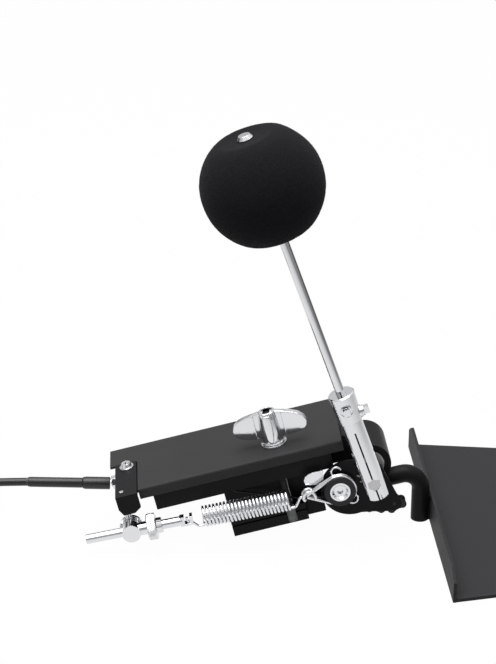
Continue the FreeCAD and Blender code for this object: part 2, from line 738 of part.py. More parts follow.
def shaft():
    """The shaft: round in the bearings, hexagonal at the front, with a collar behind."""
    neck = p.housing_front - p.face_gap
    round_part = bar(
        "ShaftRound", "y", p.bearing_inner, p.housing_back + p.collar_width - neck + 1, (0, neck, 0)
    )
    hexagon = prism("ShaftHex", "y", p.shaft_flats, neck - p.shaft_front, (0, p.shaft_front, 0))
    node("beater_shaft", UNIT, fuse("shaft", round_part, hexagon))
    start = p.housing_back + p.face_gap
    ring = bar("CollarRing", "y", p.collar_radius, p.collar_width, (0, start, 0))
    bore = bar("CollarBore", "y", p.bearing_inner, p.collar_width, (0, start, 0))
    tapped = bar("CollarTapped", "z", 2.0, p.collar_radius + 1, (0, start + p.collar_width / 2, 0))
    node("shaft_collar", UNIT, cut("collar", ring, bore, tapped))
    grub = bar(
        "CollarGrub", "z", 2.0, p.collar_radius - p.bearing_inner - 0.4,
        (0, start + p.collar_width / 2, p.bearing_inner + 0.2),
    )
    node("shaft_collar_screw", UNIT, grub)


def rocker():
    """The rocker plate on the shaft: an off-centre disc with an ear for the chain's anchor pin."""
    front = p.rocker_front
    thick = p.rocker_sheet
    disc = bar("RockerDisc", "y", p.rocker_radius, thick, (p.rocker_disc_at, front, p.rocker_disc_up))
    body = body_of("RockerWeb")
    ear = p.anchor_ear
    web = [
        (p.rocker_disc_at, p.rocker_disc_up - p.rocker_radius + 1),
        (p.anchor_at - 2, p.anchor_up - ear + 0.4),
        (p.anchor_at + ear - 0.6, p.anchor_up + 1),
        (p.rocker_boss, 0),
        (p.rocker_boss - 4, p.rocker_boss - 2),
        (p.rocker_disc_at, p.rocker_disc_up + p.rocker_radius - 1),
    ]
    pad(body, "RockerOutline", "XZ_Plane", web, thick)
    bind(body, Placement__Base__y=front + thick / 2)
    lobe = bar("AnchorLobe", "y", ear, thick, (p.anchor_at, front, p.anchor_up))
    boss = bar("RockerBoss", "y", p.rocker_boss, thick + 2, (0, front, 0))
    chain_side = p.chain_y - p.chain_width / 2 - p.chain_plate * 2 - p.face_gap
    shoulder = bar(
        "AnchorBoss", "y", p.chain_plate_radius, chain_side - front, (p.anchor_at, front, p.anchor_up)
    )
    whole = fuse("rocker", disc, body, lobe, boss, shoulder)
    socket = prism("RockerHex", "y", p.shaft_flats, thick + 4, (0, front - 1, 0))
    stud_hole = bar("RockerTapped", "y", p.pivot_stud_radius, thick + 2, (p.pivot_at, front - 1, p.pivot_up))
    pin_hole = bar("RockerPinHole", "y", p.chain_pin, 20, (p.anchor_at, front - 1, p.anchor_up))
    node("rocker_plate", UNIT, cut("rocker", whole, socket, stud_hole, pin_hole))
    pin_end = p.chain_y + p.chain_width / 2 + p.chain_plate * 2 + 0.6
    pin = bar("AnchorPin", "y", p.chain_pin, pin_end - front, (p.anchor_at, front, p.anchor_up))
    node("chain_anchor_pin", UNIT, pin)


def pivot():
    """The spring pivot: a shouldered screw on the rocker plate and the ring that turns on it."""
    width = p.pivot_ring_width
    back = p.rocker_front - p.face_gap
    front = back - width
    centre = (p.pivot_at, front, p.pivot_up)
    ring = bar("PivotRing", "y", p.pivot_ring_radius, width, centre)
    grooves = []
    for side in (-1, 1):
        groove = doc.addObject("Part::Torus", f"RingGroove{side + 1}")
        depth = p.spring_y + side * p.bail_spacing / 2
        at = Vector(float(p.pivot_at), float(depth), float(p.pivot_up))
        groove.Placement = Placement(at, ALONG["y"])
        bind(groove, Radius1=p.pivot_ring_radius, Radius2=p.spring_wire + p.running_gap)
        bind(groove, Placement__Base__x=p.pivot_at, Placement__Base__y=depth, Placement__Base__z=p.pivot_up)
        grooves.append(groove)
    hole = bar("RingHole", "y", p.pivot_bush_radius + p.running_gap, width, centre)
    node("pivot_ring", UNIT, cut("ring", ring, *grooves, hole))
    head = bar("PivotHead", "y", p.pivot_bush_radius, width + p.face_gap, centre)
    dish = cone(
        "PivotDish", "y", p.pivot_bush_radius - 1.6, p.pivot_bush_radius - 3.4, 2.0, centre
    )
    socket = prism("PivotSocket", "y", 5.0, 4.0, centre)
    shank = bar(
        "PivotShank", "y", p.pivot_stud_radius, p.rocker_sheet,
        (p.pivot_at, p.rocker_front, p.pivot_up),
    )
    solid = cut("pivot_screw", fuse("pivot_screw", head, shank), dish, socket)
    node("pivot_screw", UNIT, solid)


def link_plate(start, end, near, far):
    """A chain plate between two pins, waisted in its middle, between two depths."""
    run = end - start
    middle = (start + end) * 0.5
    side = Vector(-run.z, 0, run.x)
    side.normalize()
    radius = float(p.chain_plate_radius)
    waist = radius * 0.66
    along = Vector(run)
    along.normalize()
    points = [
        start + side * radius,
        middle + side * waist,
        end + side * radius,
        end + along * radius,
        end - side * radius,
        middle - side * waist,
        start - side * radius,
        start - along * radius,
    ]
    edges = [
        Part.Arc(points[0], points[1], points[2]).toShape(),
        Part.Arc(points[2], points[3], points[4]).toShape(),
        Part.Arc(points[4], points[5], points[6]).toShape(),
        Part.Arc(points[6], points[7], points[0]).toShape(),
    ]
    face = Part.Face(Part.Wire(edges))
    face.translate(Vector(0, near, 0))
    return face.extrude(Vector(0, far - near, 0))


def chain():
    """The pull chain's solids and its pins' places, from the anchor round the slack loop."""
    pitch = float(p.chain_pitch)
    middle = float(p.chain_y)
    half = float(p.chain_width) / 2
    thick = float(p.chain_plate)
    gap = float(p.running_gap)
    # Each link's slope, from the anchor pin back to the clevis, in degrees.
    slopes = [-48.0, -166.0, 165.0, 160.0]
    pins = [Vector(float(p.anchor_at), 0, float(p.anchor_up))]
    for slope in slopes:
        turn = math.radians(slope)
        pins.append(pins[-1] + Vector(math.cos(turn), 0, math.sin(turn)) * pitch)
    solids = []
    for index, (start, end) in enumerate(zip(pins, pins[1:])):
        outer = index % 2 == 1
        near = half + (thick + gap if outer else 0.0)
        far = near + thick
        link = link_plate(start, end, middle - far, middle - near)
        link = link.fuse(link_plate(start, end, middle + near, middle + far))
        for at in (start, end):
            place = Vector(at.x, middle - far, at.z)
            if outer:
                link = link.fuse(Part.makeCylinder(float(p.chain_pin), 2 * far, place, Y_AXIS))
            else:
                roller_place = Vector(at.x, middle - half, at.z)
                link = link.fuse(Part.makeCylinder(float(p.chain_roller), 2 * half, roller_place, Y_AXIS))
                link = link.cut(Part.makeCylinder(float(p.chain_pin) + gap, 2 * far, place, Y_AXIS))
        solids.append(link)
    return solids, pins


def drive():
    """The chain, its clevis and the inner wire that pulls them."""
    solids, pins = chain()
    node("drive_chain", UNIT, *[plain(f"ChainLink{i}", solid) for i, solid in enumerate(solids)])
    last = pins[-1]
    mouth = p.bracket_left + p.cheek_sheet + p.inner_nut_width + 0.6
    entry = Vector(float(mouth), float(p.cable_y), float(p.cable_up))
    eye = Vector(last.x, float(p.chain_y), last.z)
    pull = entry - eye
    pull.normalize()
    half = float(p.chain_width) / 2 - float(p.face_gap)
    tongue = Part.makeCylinder(3.6, 2 * half, eye - Y_AXIS * half, Y_AXIS)
    block_length = 9.0
    neck = Part.makeBox(block_length, 2 * half, 7.2, Vector(0, -half, -3.6))
    neck.Placement = Placement(eye, Rotation(pull, Y_AXIS, Vector(), "XYZ"))
    hole = Part.makeCylinder(float(p.chain_pin) + float(p.running_gap), 20, eye - Y_AXIS * 10, Y_AXIS)
    barrel = Part.makeCylinder(3.4, 9.0, eye + pull * (block_length - 1.5), pull)
    crimp = Part.makeCone(3.4, 1.8, 3.0, eye + pull * (block_length + 7.5), pull)
    wire_start = block_length + 10.5
    wire_length = (entry - eye).Length - wire_start
    node("chain_clevis", UNIT, plain("ClevisSolid", tongue.fuse([neck, barrel, crimp]).cut(hole)))
    wire = Part.makeCylinder(float(p.wire_radius), wire_length, eye + pull * wire_start, pull)
    node("inner_wire", UNIT, plain("InnerWireSolid", wire))


def square_bolt(name, axis_frame, length):
    """A square-head bolt that runs along its frame's -z from its seat."""
    thread = bar(f"{name}_thread", "z", p.bolt_radius, length, (0, 0, -Term.of(length)))
    flange = bar(f"{name}_flange", "z", p.bolt_flange, 1.6, (0, 0, p.face_gap))
    neck = bar(f"{name}_neck", "z", p.bolt_radius, 1.0, (0, 0, 0))
    square = prism(f"{name}_square", "z", p.bolt_square, p.bolt_head, (0, 0, 1.0), sides=4)
    node(name, axis_frame, fuse(name, thread, flange, neck, square))


def beater():
    """The beater: its split hub, the rod, the head, and the screws that hold them."""
    depth = p.hub_radius * 2
    collar_height = p.hub_top - p.hub_collar_start
    stem = bar("HubStem", "z", p.hub_radius, p.hub_collar_start + p.hub_foot + 1, (0, 0, -p.hub_foot))
    collar = cone(
        "HubCollar", "z", p.hub_collar_foot, p.hub_collar_radius, collar_height - 1, (0, 0, p.hub_collar_start)
    )
    brow = cone(
        "HubBrow", "z", p.hub_collar_radius, p.hub_collar_radius - 1, 1, (0, 0, p.hub_top - 1)
    )
    rim = bar("HubRim", "x", p.rim_radius, p.rim_reach, (0, 0, p.height_bolt_height))
    whole = fuse("hub", stem, collar, brow, rim)
    gap = p.running_gap
    socket = prism("HubHex", "y", p.shaft_flats + gap * 2, depth + 4, (0, -depth / 2 - 2, 0))
    upright = Rotation(Y_AXIS, float(p.beater_lean))
    socket.Placement = Placement(socket.Placement.Base, upright * socket.Placement.Rotation)
    slit = block(
        "HubSlit", -p.hub_slit / 2, p.hub_slit / 2, -depth, depth, -p.hub_foot - 1, p.hub_slit_top
    )
    back = block("HubBack", -depth, depth, p.hub_back, depth, -p.hub_foot - 1, p.hub_slit_top)
    bore = bar(
        "HubRodBore", "z", p.beater_rod_radius + gap, p.hub_top - p.rod_bore_floor + 1,
        (0, 0, p.rod_bore_floor),
    )
    screw_end = p.hub_radius - 0.8
    screw_start = screw_end - p.clamp_screw_length
    clamp_hole = bar(
        "HubClampHole", "x", p.bolt_radius + gap, 30, (screw_start - p.face_gap, 0, p.clamp_height)
    )
    height_hole = bar("HubHeightHole", "x", p.bolt_radius + gap, 20, (0, 0, p.height_bolt_height))
    front_hole = bar("HubFrontHole", "y", p.bolt_radius + gap, 20, (0, -20, p.angle_bolt_height))
    recess = bar(
        "HubRecess", "y", p.recess_radius, 20, (0, -p.recess_floor - 20, p.angle_bolt_height)
    )
    solid = cut(
        "hub", whole, socket, slit, back, bore, clamp_hole, height_hole, front_hole, recess
    )
    node("beater_hub", BEATER, solid)
    right = Rotation(Y_AXIS, 90)
    forward = Rotation(X_AXIS, 90)
    clamp_frame = BEATER * Placement(Vector(float(screw_end), 0, float(p.clamp_height)), right)
    screw = bar("ClampScrew", "z", p.bolt_radius, p.clamp_screw_length, (0, 0, -p.clamp_screw_length))
    key = prism("ClampKey", "z", p.bolt_radius, 3.0, (0, 0, -2.5))
    node("hub_clamp_bolt", clamp_frame, cut("clamp_screw", screw, key))
    rod_side = p.beater_rod_radius + 0.15
    height_frame = BEATER * Placement(
        Vector(float(p.rim_reach), 0, float(p.height_bolt_height)), right
    )
    square_bolt("rod_height_bolt", height_frame, p.rim_reach - rod_side)
    front_frame = BEATER * Placement(
        Vector(0, -float(p.recess_floor), float(p.angle_bolt_height)), forward
    )
    square_bolt("rod_angle_bolt", front_frame, p.recess_floor - rod_side)

    rod_end = p.head_distance + p.head_flat - p.cap_sink
    rod_start = p.rod_bore_floor + p.face_gap
    rod = bar("BeaterRod", "z", p.beater_rod_radius, rod_end - rod_start, (0, 0, rod_start))
    node("beater_rod", BEATER, bevelled("beater_rod", rod, 0.8, lambda edge, middle: True))

    radius = float(p.head_radius)
    flat = float(p.head_flat)
    flat_radius = math.sqrt(radius * radius - flat * flat)
    ball = Part.makeSphere(radius, Vector(0, 0, 0))
    keep = Part.makeCylinder(radius + 1, 2 * flat, Vector(0, 0, -flat))
    ball = ball.common(keep)
    rims = [
        edge for edge in ball.Edges
        if abs(abs(edge.valueAt(edge.FirstParameter).z) - flat) < 0.01 and abs(edge.Length) > flat_radius
    ]
    ball = ball.makeFillet(float(p.head_edge), rims)
    cap_floor = p.head_flat - p.cap_sink
    dish = Part.makeSphere(float(p.dish_radius), Vector(0, 0, float(cap_floor + p.dish_radius)))
    tunnel = Part.makeCylinder(float(p.beater_rod_radius) + 0.05, 2 * flat + 2, Vector(0, 0, -flat - 1))
    seat = Part.makeCylinder(float(p.cap_radius) + 0.05, 2 * float(p.cap_height), Vector(0, 0, float(cap_floor)))
    solid = ball.cut(dish).cut(tunnel).cut(seat)
    head_frame = BEATER * Placement(Vector(0, 0, float(p.head_distance)), Rotation())
    node("beater_head", head_frame, plain("HeadSolid", solid))
    cap = cone("CapTop", "z", p.cap_radius, p.cap_radius - 2.0, p.cap_height, (0, 0, cap_floor))
    node("beater_head_cap", head_frame, cap)


def spring():
    """The return spring's coil."""
    mean = float(p.spring_mean)
    wire = float(p.spring_wire)
    length = float(p.spring_length)
    start = float(p.spring_start)
    helix = Part.makeHelix(length / float(p.spring_turns), length, mean)
    helix.Placement = Placement(Vector(start, 0, 0), Rotation(Y_AXIS, 90))
    first = helix.Edges[0]
    place = first.valueAt(first.FirstParameter)
    section = Part.Wire(Part.makeCircle(wire, place, first.tangentAt(first.FirstParameter)))
    return Part.Wire(helix.Edges).makePipeShell([section], True, True)


def tension():
    """The tension rod with its eye, the thumb nut, the swivel barrel and the post that carries it."""
    coil = spring()
    mean = float(p.spring_mean)
    wire = float(p.spring_wire)
    start = float(p.spring_start)
    end = start + float(p.spring_length)
    eye = float(p.rod_eye)
    run = float(p.hook_run)
    drop = float(p.hook_drop)
    side = float(p.hook_set)
    first_bend = float(p.hook_bend)
    second_bend = float(p.hook_turn_in)
    pivot_distance = math.hypot(float(p.pivot_at - p.swivel_at), float(p.pivot_up - p.swivel_up))
    left = bent_path(
        [Vector(start, 0, -mean), Vector(start - run, 0, -mean), Vector(eye + side, 0, -drop),
         Vector(eye - side, 0, wire - drop / 1.5), Vector(eye - side, 0, wire * 2)],
        [first_bend, second_bend, float(p.hook_tip_bend)],
    )
    right_hook = bent_path(
        [Vector(end, 0, -mean), Vector(end + run, 0, -mean),
         Vector(end + run * 2, 0, 0), Vector(end + float(p.hook_reach), 0, 0)],
        [first_bend, second_bend],
    )
    solids = [coil, swept(left, wire), swept(right_hook, wire)]
    whole = solids[0].fuse(solids[1:])
    node("return_spring", SPRING, plain("SpringSolid", whole))

    flat_end = p.rod_eye + p.eye_end
    flat_start = flat_end - p.eye_flat_length
    slot_end = p.rod_eye + p.eye_slot_end
    rod = bar("TensionRod", "x", p.rod_radius, p.rod_tail + flat_start + 2, (-p.rod_tail, 0, 0))
    flat = block(
        "RodEyeFlat", flat_start, flat_end, -p.eye_flat_half, p.eye_flat_half, -p.rod_radius, p.rod_radius
    )
    slot = block(
        "RodEyeSlot", slot_end - p.eye_slot_length, slot_end, -p.rod_radius, p.rod_radius,
        p.eye_slot_floor, p.rod_radius + 1,
    )
    hook_way = plain("RodHookWay", swept(left, wire + float(p.running_gap) * 2))
    node("tension_rod", SPRING, cut("tension_rod", fuse("tension_rod", rod, flat), slot, hook_way))
    nut = bar("NutDisc", "x", p.nut_radius, p.nut_width, (p.nut_at, 0, 0))
    nose = bar(
        "NutNose", "x", p.nut_nose_radius, p.nut_nose_length, (p.nut_at + p.nut_width, 0, 0)
    )
    nut_bore = bar(
        "NutBore", "x", p.rod_radius + p.running_gap, p.nut_width + p.nut_nose_length + 2, (p.nut_at - 1, 0, 0)
    )
    node("thumb_nut", SPRING, cut("nut", fuse("nut", nut, nose), nut_bore))
    width = p.barrel_width
    barrel = bar("Barrel", "y", p.barrel_radius, width, (0, -width / 2, 0))
    journal_end = p.post_y + p.eye_width / 2 - p.spring_y
    journal = bar("Journal", "y", p.journal_radius, journal_end, (0, 0, 0))
    seat_sleeve = bar(
        "BarrelNose", "x", p.barrel_nose_radius, p.nut_at - p.face_gap, (0, 0, 0)
    )
    cross = bar("BarrelBore", "x", p.rod_radius + p.running_gap, 40, (-20, 0, 0))
    node("swivel_barrel", SPRING, cut("barrel", fuse("barrel", barrel, journal, seat_sleeve), cross))
    deck = p.cover_top - p.cover_sheet
    eye_low = p.post_y - p.eye_width / 2
    centre = (p.swivel_at, eye_low, p.swivel_up)
    ring = bar("EyeRing", "y", p.eye_radius, p.eye_width, centre)
    stem_foot = p.swivel_up + p.barrel_radius + p.face_gap
    stem = bar("PostStem", "z", p.post_radius, deck - stem_foot, (p.swivel_at, p.post_y, stem_foot))
    hole = bar("EyeHole", "y", p.journal_radius + p.running_gap, p.eye_width, centre)
    node("swivel_post", UNIT, cut("post", fuse("post", ring, stem), hole))

    hoop = float(p.pivot_ring_radius)
    grip = end + float(p.bail_grip)
    away = pivot_distance - grip
    touch = math.acos(hoop / away)
    high = Vector(pivot_distance - hoop * math.cos(touch), 0, hoop * math.sin(touch))
    low = Vector(high.x, 0, -high.z)
    round_end = Vector(pivot_distance + hoop, 0, 0)
    tip = Vector(grip, 0, 0)
    loop = Part.Wire([
        Part.LineSegment(tip + (high - tip) * 0.08, high).toShape(),
        Part.Arc(high, round_end, low).toShape(),
        Part.LineSegment(low, tip + (low - tip) * 0.08).toShape(),
    ])
    wires = []
    for side in (-1, 1):
        strand = swept(loop, wire)
        strand.translate(Vector(0, side * float(p.bail_spacing) / 2, 0))
        wires.append(strand)
    lug = Part.makeTorus(float(p.bail_lug), wire * 1.3, tip, X_AXIS)
    node("spring_bail", SPRING, plain("BailSolid", wires[0].fuse([wires[1], lug])))


def levelling_screw():
    """The levelling screw through the channel's deck, with its rubber tip."""
    top = p.cover_top - p.cover_sheet
    length = top - p.stud_tip_top
    stud = bar("Stud", "z", p.stud_radius, length, (p.stud_at, p.stud_y, p.stud_tip_top))
    node("levelling_screw", UNIT, stud)
    height = p.stud_tip_top - p.stud_tip_bottom
    tip = bar("TipBody", "z", p.stud_tip_radius, height, (p.stud_at, p.stud_y, p.stud_tip_bottom))
    node("levelling_tip", UNIT, bevelled("tip", tip, 1.0, lambda edge, middle: True))
    nut_top = top - p.frame_sheet
    nut_foot = nut_top - p.stud_nut_height
    nut = prism("StudNut", "z", p.stud_nut_flats, p.stud_nut_height, (p.stud_at, p.stud_y, nut_foot))
    bore = bar(
        "StudNutBore", "z", p.stud_radius + p.running_gap, p.stud_nut_height + 2,
        (p.stud_at, p.stud_y, nut_foot - 1),
    )
    node("levelling_nut", UNIT, cut("stud_nut", nut, bore))


def bracket():
    """The folded cable bracket in the cover's notch, with its screw."""
    top = p.cover_top + p.bracket_sheet / 2
    under = p.cover_top - p.cover_sheet
    front = p.bracket_front
    sheet_width = p.bracket_sheet
    deck = block("BracketDeck", p.bracket_left, p.bracket_right, front, p.bracket_back, under, top)
    body = body_of("TongueBody")
    tongue = [
        (p.bracket_left, top),
        (p.bracket_left, top - 12),
        (p.bracket_left + 3, under - p.bracket_drop),
        (p.bracket_right - 6, under - p.bracket_drop),
        (p.bracket_right, top - 14),
        (p.bracket_right, top),
    ]
    pad(body, "TongueOutline", "XZ_Plane", tongue, sheet_width)
    bind(body, Placement__Base__y=front + sheet_width / 2)
    cheek = block(
        "BracketCheek", p.bracket_left, p.bracket_left + p.cheek_sheet, p.cable_y - 9, p.bracket_back,
        p.cable_up - 9, top,
    )
    whole = fuse("bracket", deck, body, cheek)
    at = (p.bracket_left - 1, p.cable_y, p.cable_up)
    entry = bar("BracketEntry", "x", p.ferrule_radius + p.running_gap, p.cheek_sheet + 2, at)
    screw_at = (p.bracket_screw_at, p.bracket_screw_y, under - 1)
    screw_hole = bar("BracketScrewHole", "z", p.screw_shank + p.running_gap, 10, screw_at)
    post_at = (p.swivel_at, p.post_y, under - 1)
    post_hole = bar("BracketPostHole", "z", p.post_radius - 1 + p.running_gap, 10, post_at)
    node("cable_bracket", UNIT, cut("bracket", whole, entry, screw_hole, post_hole))
    node("swivel_post_rivet", UNIT, bar(
        "PostRivet", "z", p.post_radius - 1, top - under + 0.8, (p.swivel_at, p.post_y, under)
    ))
    seat = (p.bracket_screw_at, p.bracket_screw_y, top)
    head = cone(
        "ScrewHead", "z", p.screw_head_radius, p.screw_head_radius - 1.2, p.screw_head_height, seat
    )
    flange = bar("ScrewFlange", "z", p.screw_head_radius + 1, 1.2, seat)
    shank = bar(
        "ScrewShank", "z", p.screw_shank, top - under + p.frame_sheet + 2,
        (p.bracket_screw_at, p.bracket_screw_y, under - p.frame_sheet - 2),
    )
    cross = [
        block("CrossA", p.bracket_screw_at - 3, p.bracket_screw_at + 3, -0.6, 0.6, top + 2, top + 9),
        block("CrossB", p.bracket_screw_at - 0.6, p.bracket_screw_at + 0.6, -3, 3, top + 2, top + 9),
    ]
    node("bracket_screw", UNIT, cut("bracket_screw", fuse("bracket_screw", head, flange, shank), *cross))


# The free cable's route from its sleeve to the stored coil, and from the coil to its far end.
CABLE_ROUTE = [
    Vector(-455, 4, 48),
    Vector(-490, 4, 46.5),
    Vector(-521, 6, 37),
    Vector(-544, 16, 22),
    Vector(-557, 34, 9),
    Vector(-560.5, 56, 3.7),
    Vector(-560.55, 74, 3.6),
]
CABLE_TAIL = [
    Vector(-475.45, 74, 10.7),
    Vector(-475.2, 48, 10.2),
    Vector(-474, 22, 5.7),
    Vector(-473, 0, 5.2),
]


def tube(name, points, radius):
    """A free stretch of cable along its route."""
    path = bent_path(points)
    solid = swept(path, radius)
    expected = math.pi * float(radius) ** 2 * path.Length
    if abs(solid.Volume / expected - 1) > 0.01:
        raise RuntimeError(f"{name} doesn't fill its route")
    radii = [round(edge.Curve.Radius, 1) for edge in path.Edges if edge.Curve.TypeId == "Part::GeomCircle"]
    print(f"{name}: {path.Length:.1f} mm long, bend radii {radii}")
    return plain(f"{name}_solid", solid)


def cable():
    """The cable: ferrule, lock nuts, two sleeves, the free jacket, its stored coil and its end."""
    tilted = UNIT * Placement(
        Vector(float(p.bracket_left), float(p.cable_y), float(p.cable_up)), Rotation(Z_AXIS, 180)
    )
    nut_width = p.lock_nut_width
    outer_nut = prism("OuterNut", "x", p.lock_nut_flats, nut_width, (0, 0, 0))
    outer_bore = bar("OuterNutBore", "x", p.ferrule_radius + p.running_gap, nut_width + 2, (-1, 0, 0))
    node("cable_lock_nut_outer", tilted, cut("outer_nut", outer_nut, outer_bore))
    inner_at = -p.cheek_sheet - p.inner_nut_width
    inner_nut = prism("InnerNut", "x", p.lock_nut_flats, p.inner_nut_width, (inner_at, 0, 0))
    inner_bore = bar("InnerNutBore", "x", p.ferrule_radius + p.running_gap, nut_width + 2, (inner_at - 1, 0, 0))
    node("cable_lock_nut_inner", tilted, cut("inner_nut", inner_nut, inner_bore))
    inside = inner_at - p.face_gap
    ferrule = bar("Ferrule", "x", p.ferrule_radius, nut_width + 0.7 - inside, (inside, 0, 0))
    ferrule_bore = bar("FerruleBore", "x", p.wire_radius + p.running_gap, 14, (inside - 1, 0, 0))
    node("cable_ferrule", tilted, cut("ferrule", ferrule, ferrule_bore))

    # The sleeves leave nearly level, whatever the frame's slope.
    slack = float(nut_width) + float(p.lock_nut_flats) / 2 * math.sin(math.radians(float(p.tilt))) + 0.8
    start = tilted.multVec(Vector(slack, 0, 0))
    rise = math.radians(float(p.cable_rise))
    away = Vector(-math.cos(rise), 0, math.sin(rise))
    leaving = Placement(start, Rotation(X_AXIS, away))
    first = bar("SleeveFirst", "x", p.sleeve_outer, p.sleeve_outer_length, (0, 0, 0))
    node("cable_sleeve_large", leaving, first)
    second = bar("SleeveSecond", "x", p.sleeve_inner, p.sleeve_inner_length, (p.sleeve_outer_length, 0, 0))
    node("cable_sleeve_small", leaving, second)
    exit_reach = float(p.sleeve_outer_length + p.sleeve_inner_length + p.face_gap)
    exit_point = leaving.multVec(Vector(exit_reach, 0, 0))
    print(f"cable exit {exit_point}")
    node("cable_jacket", WORLD, tube("CableJacket", [exit_point] + CABLE_ROUTE, p.cable_radius))

    width = p.cable_radius * 2 + 0.05
    floor = (p.coil_x, p.coil_y, 0)
    disc = bar("CoilDisc", "z", p.coil_mean + width, width * 2, floor)
    eye = bar("CoilEye", "z", p.coil_mean - width, width * 2, floor)
    node("cable_coil", WORLD, cut("coil", disc, eye))
    node("cable_tail", WORLD, tube("CableTail", CABLE_TAIL, p.cable_radius))

    end = Placement(CABLE_TAIL[-1] - Y_AXIS * 0.4, Rotation(Z_AXIS, -90))
    length = p.end_ferrule_length
    barrel = bar("EndBarrel", "x", p.ferrule_radius, length, (0, 0, 0))
    skirt = bar("EndSkirt", "x", p.sleeve_inner, p.end_skirt_length, (0, 0, 0))
    node("cable_end_ferrule", end, fuse("end_ferrule", barrel, skirt))
    nut_at = p.end_skirt_length - nut_width - 2
    nut = prism("EndNut", "x", p.lock_nut_flats, nut_width, (nut_at, 0, 0))
    nut_bore = bar("EndNutBore", "x", p.sleeve_inner + p.running_gap, nut_width + 2, (nut_at - 1, 0, 0))
    node("cable_end_nut", end, cut("end_nut", nut, nut_bore))
    wire = bar("EndWire", "x", p.wire_radius, p.end_wire_length, (length, 0, 0))
    nipple = bar(
        "EndNipple", "y", p.nipple_radius, p.nipple_length,
        (length + p.end_wire_length, -p.nipple_length / 2, 0),
    )
    node("cable_end_wire", end, fuse("end_wire", wire, nipple))


def build_all():
    """Builds every sub-part in order."""
    base_plate()
    gooseneck()
    cover()
    channel()
    receiver()
    wing_bolt()
    housing()
    shaft()
    rocker()
    pivot()
    drive()
    beater()
    tension()
    levelling_screw()
    bracket()
    cable()


def check_and_write():
    """Checks every feature and every sub-part, then writes one STEP file for each."""
    doc.recompute()
    for thing in doc.Objects:
        if "Invalid" in thing.State or "Error" in thing.State:
            raise RuntimeError(f"{thing.Name} failed: {thing.State}")
    os.makedirs("parts", exist_ok=True)
    for group in nodes:
        shape = group.Shape
        if shape.isNull() or not shape.isValid() or not shape.Solids:
            raise RuntimeError(f"{group.Label} has no valid shape")
        shape.exportStep(f"parts/{group.Label}.step")
    print(f"{len(nodes)} sub-parts written")


build_all()
check_and_write()
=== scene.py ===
"""Dresses the bass drum beater unit: finishes, turned and knurled hardware, foam head, cable and studio."""

from __future__ import annotations

import json
import logging
import math
import random
from dataclasses import dataclass, field
from enum import Enum
from typing import Callable, Iterable, Sequence, Union

import bmesh
import bpy
from mathutils import Matrix, Vector, noise

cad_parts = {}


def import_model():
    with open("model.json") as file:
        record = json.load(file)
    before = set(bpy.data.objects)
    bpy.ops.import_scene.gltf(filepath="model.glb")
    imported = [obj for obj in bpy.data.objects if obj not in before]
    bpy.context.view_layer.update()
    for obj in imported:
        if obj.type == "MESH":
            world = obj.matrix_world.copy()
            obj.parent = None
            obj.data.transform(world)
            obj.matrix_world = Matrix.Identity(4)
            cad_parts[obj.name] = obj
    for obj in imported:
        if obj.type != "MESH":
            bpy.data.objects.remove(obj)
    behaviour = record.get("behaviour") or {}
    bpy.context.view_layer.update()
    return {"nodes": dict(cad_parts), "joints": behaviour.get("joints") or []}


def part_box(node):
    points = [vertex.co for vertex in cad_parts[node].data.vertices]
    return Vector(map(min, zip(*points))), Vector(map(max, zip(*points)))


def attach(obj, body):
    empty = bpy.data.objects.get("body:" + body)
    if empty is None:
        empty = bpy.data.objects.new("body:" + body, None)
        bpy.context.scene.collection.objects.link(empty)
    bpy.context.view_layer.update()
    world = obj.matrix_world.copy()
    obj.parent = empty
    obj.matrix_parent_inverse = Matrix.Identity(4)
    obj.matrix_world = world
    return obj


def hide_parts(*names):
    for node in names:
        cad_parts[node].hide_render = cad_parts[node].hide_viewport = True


LOG = logging.getLogger("beater_unit")
Colour = tuple[float, float, float]
Outline = Sequence[tuple[float, float]]
FULL_TURN = 2 * math.pi
MM = 0.001
BLACK: Colour = (0.0, 0.0, 0.0)
WHITE: Colour = (1.0, 1.0, 1.0)
Z_TO_X = Matrix.Rotation(math.pi / 2, 4, "Y")


class Value:
    """A number on a node's socket, so that Python's operators add Math nodes."""

    def __init__(self, shader: "Shader", socket: bpy.types.NodeSocket) -> None:
        """Wraps a socket.

        Args:
            shader: The material that the socket's node belongs to.
            socket: The output socket.
        """
        self.shader = shader
        self.socket = socket

    def maths(self, operation: str, *operands: "Operand") -> "Value":
        """Adds a Math node.

        Args:
            operation: The Math node's operation.
            operands: What goes into its sockets, in order.

        Returns:
            The node's result.
        """
        made = self.shader.node("ShaderNodeMath", {"operation": operation}, dict(enumerate(operands)))
        return Value(self.shader, made.outputs[0])

    def __add__(self, other: "Operand") -> "Value":
        """Returns the sum."""
        return self.maths("ADD", self, other)

    def __radd__(self, other: "Operand") -> "Value":
        """Returns the sum with a plain number on the left."""
        return self.maths("ADD", other, self)

    def __sub__(self, other: "Operand") -> "Value":
        """Returns the difference."""
        return self.maths("SUBTRACT", self, other)

    def __rsub__(self, other: "Operand") -> "Value":
        """Returns a plain number less this value."""
        return self.maths("SUBTRACT", other, self)

    def __mul__(self, other: "Operand") -> "Value":
        """Returns the product."""
        return self.maths("MULTIPLY", self, other)

    def __rmul__(self, other: "Operand") -> "Value":
        """Returns the product with a plain number on the left."""
        return self.maths("MULTIPLY", other, self)

    def above(self, start: float, end: float) -> "Value":
        """Turns the value into a mask.

        Args:
            start: Where the mask is 0.
            end: Where the mask is 1.

        Returns:
            The mask, from 0 to 1.
        """
        ranged = self.shader.node(
            "ShaderNodeMapRange",
            {"clamp": True},
            {"Value": self, "From Min": start, "From Max": end, "To Min": 0.0, "To Max": 1.0},
        )
        return Value(self.shader, ranged.outputs["Result"])


Operand = Union[Value, float, int]


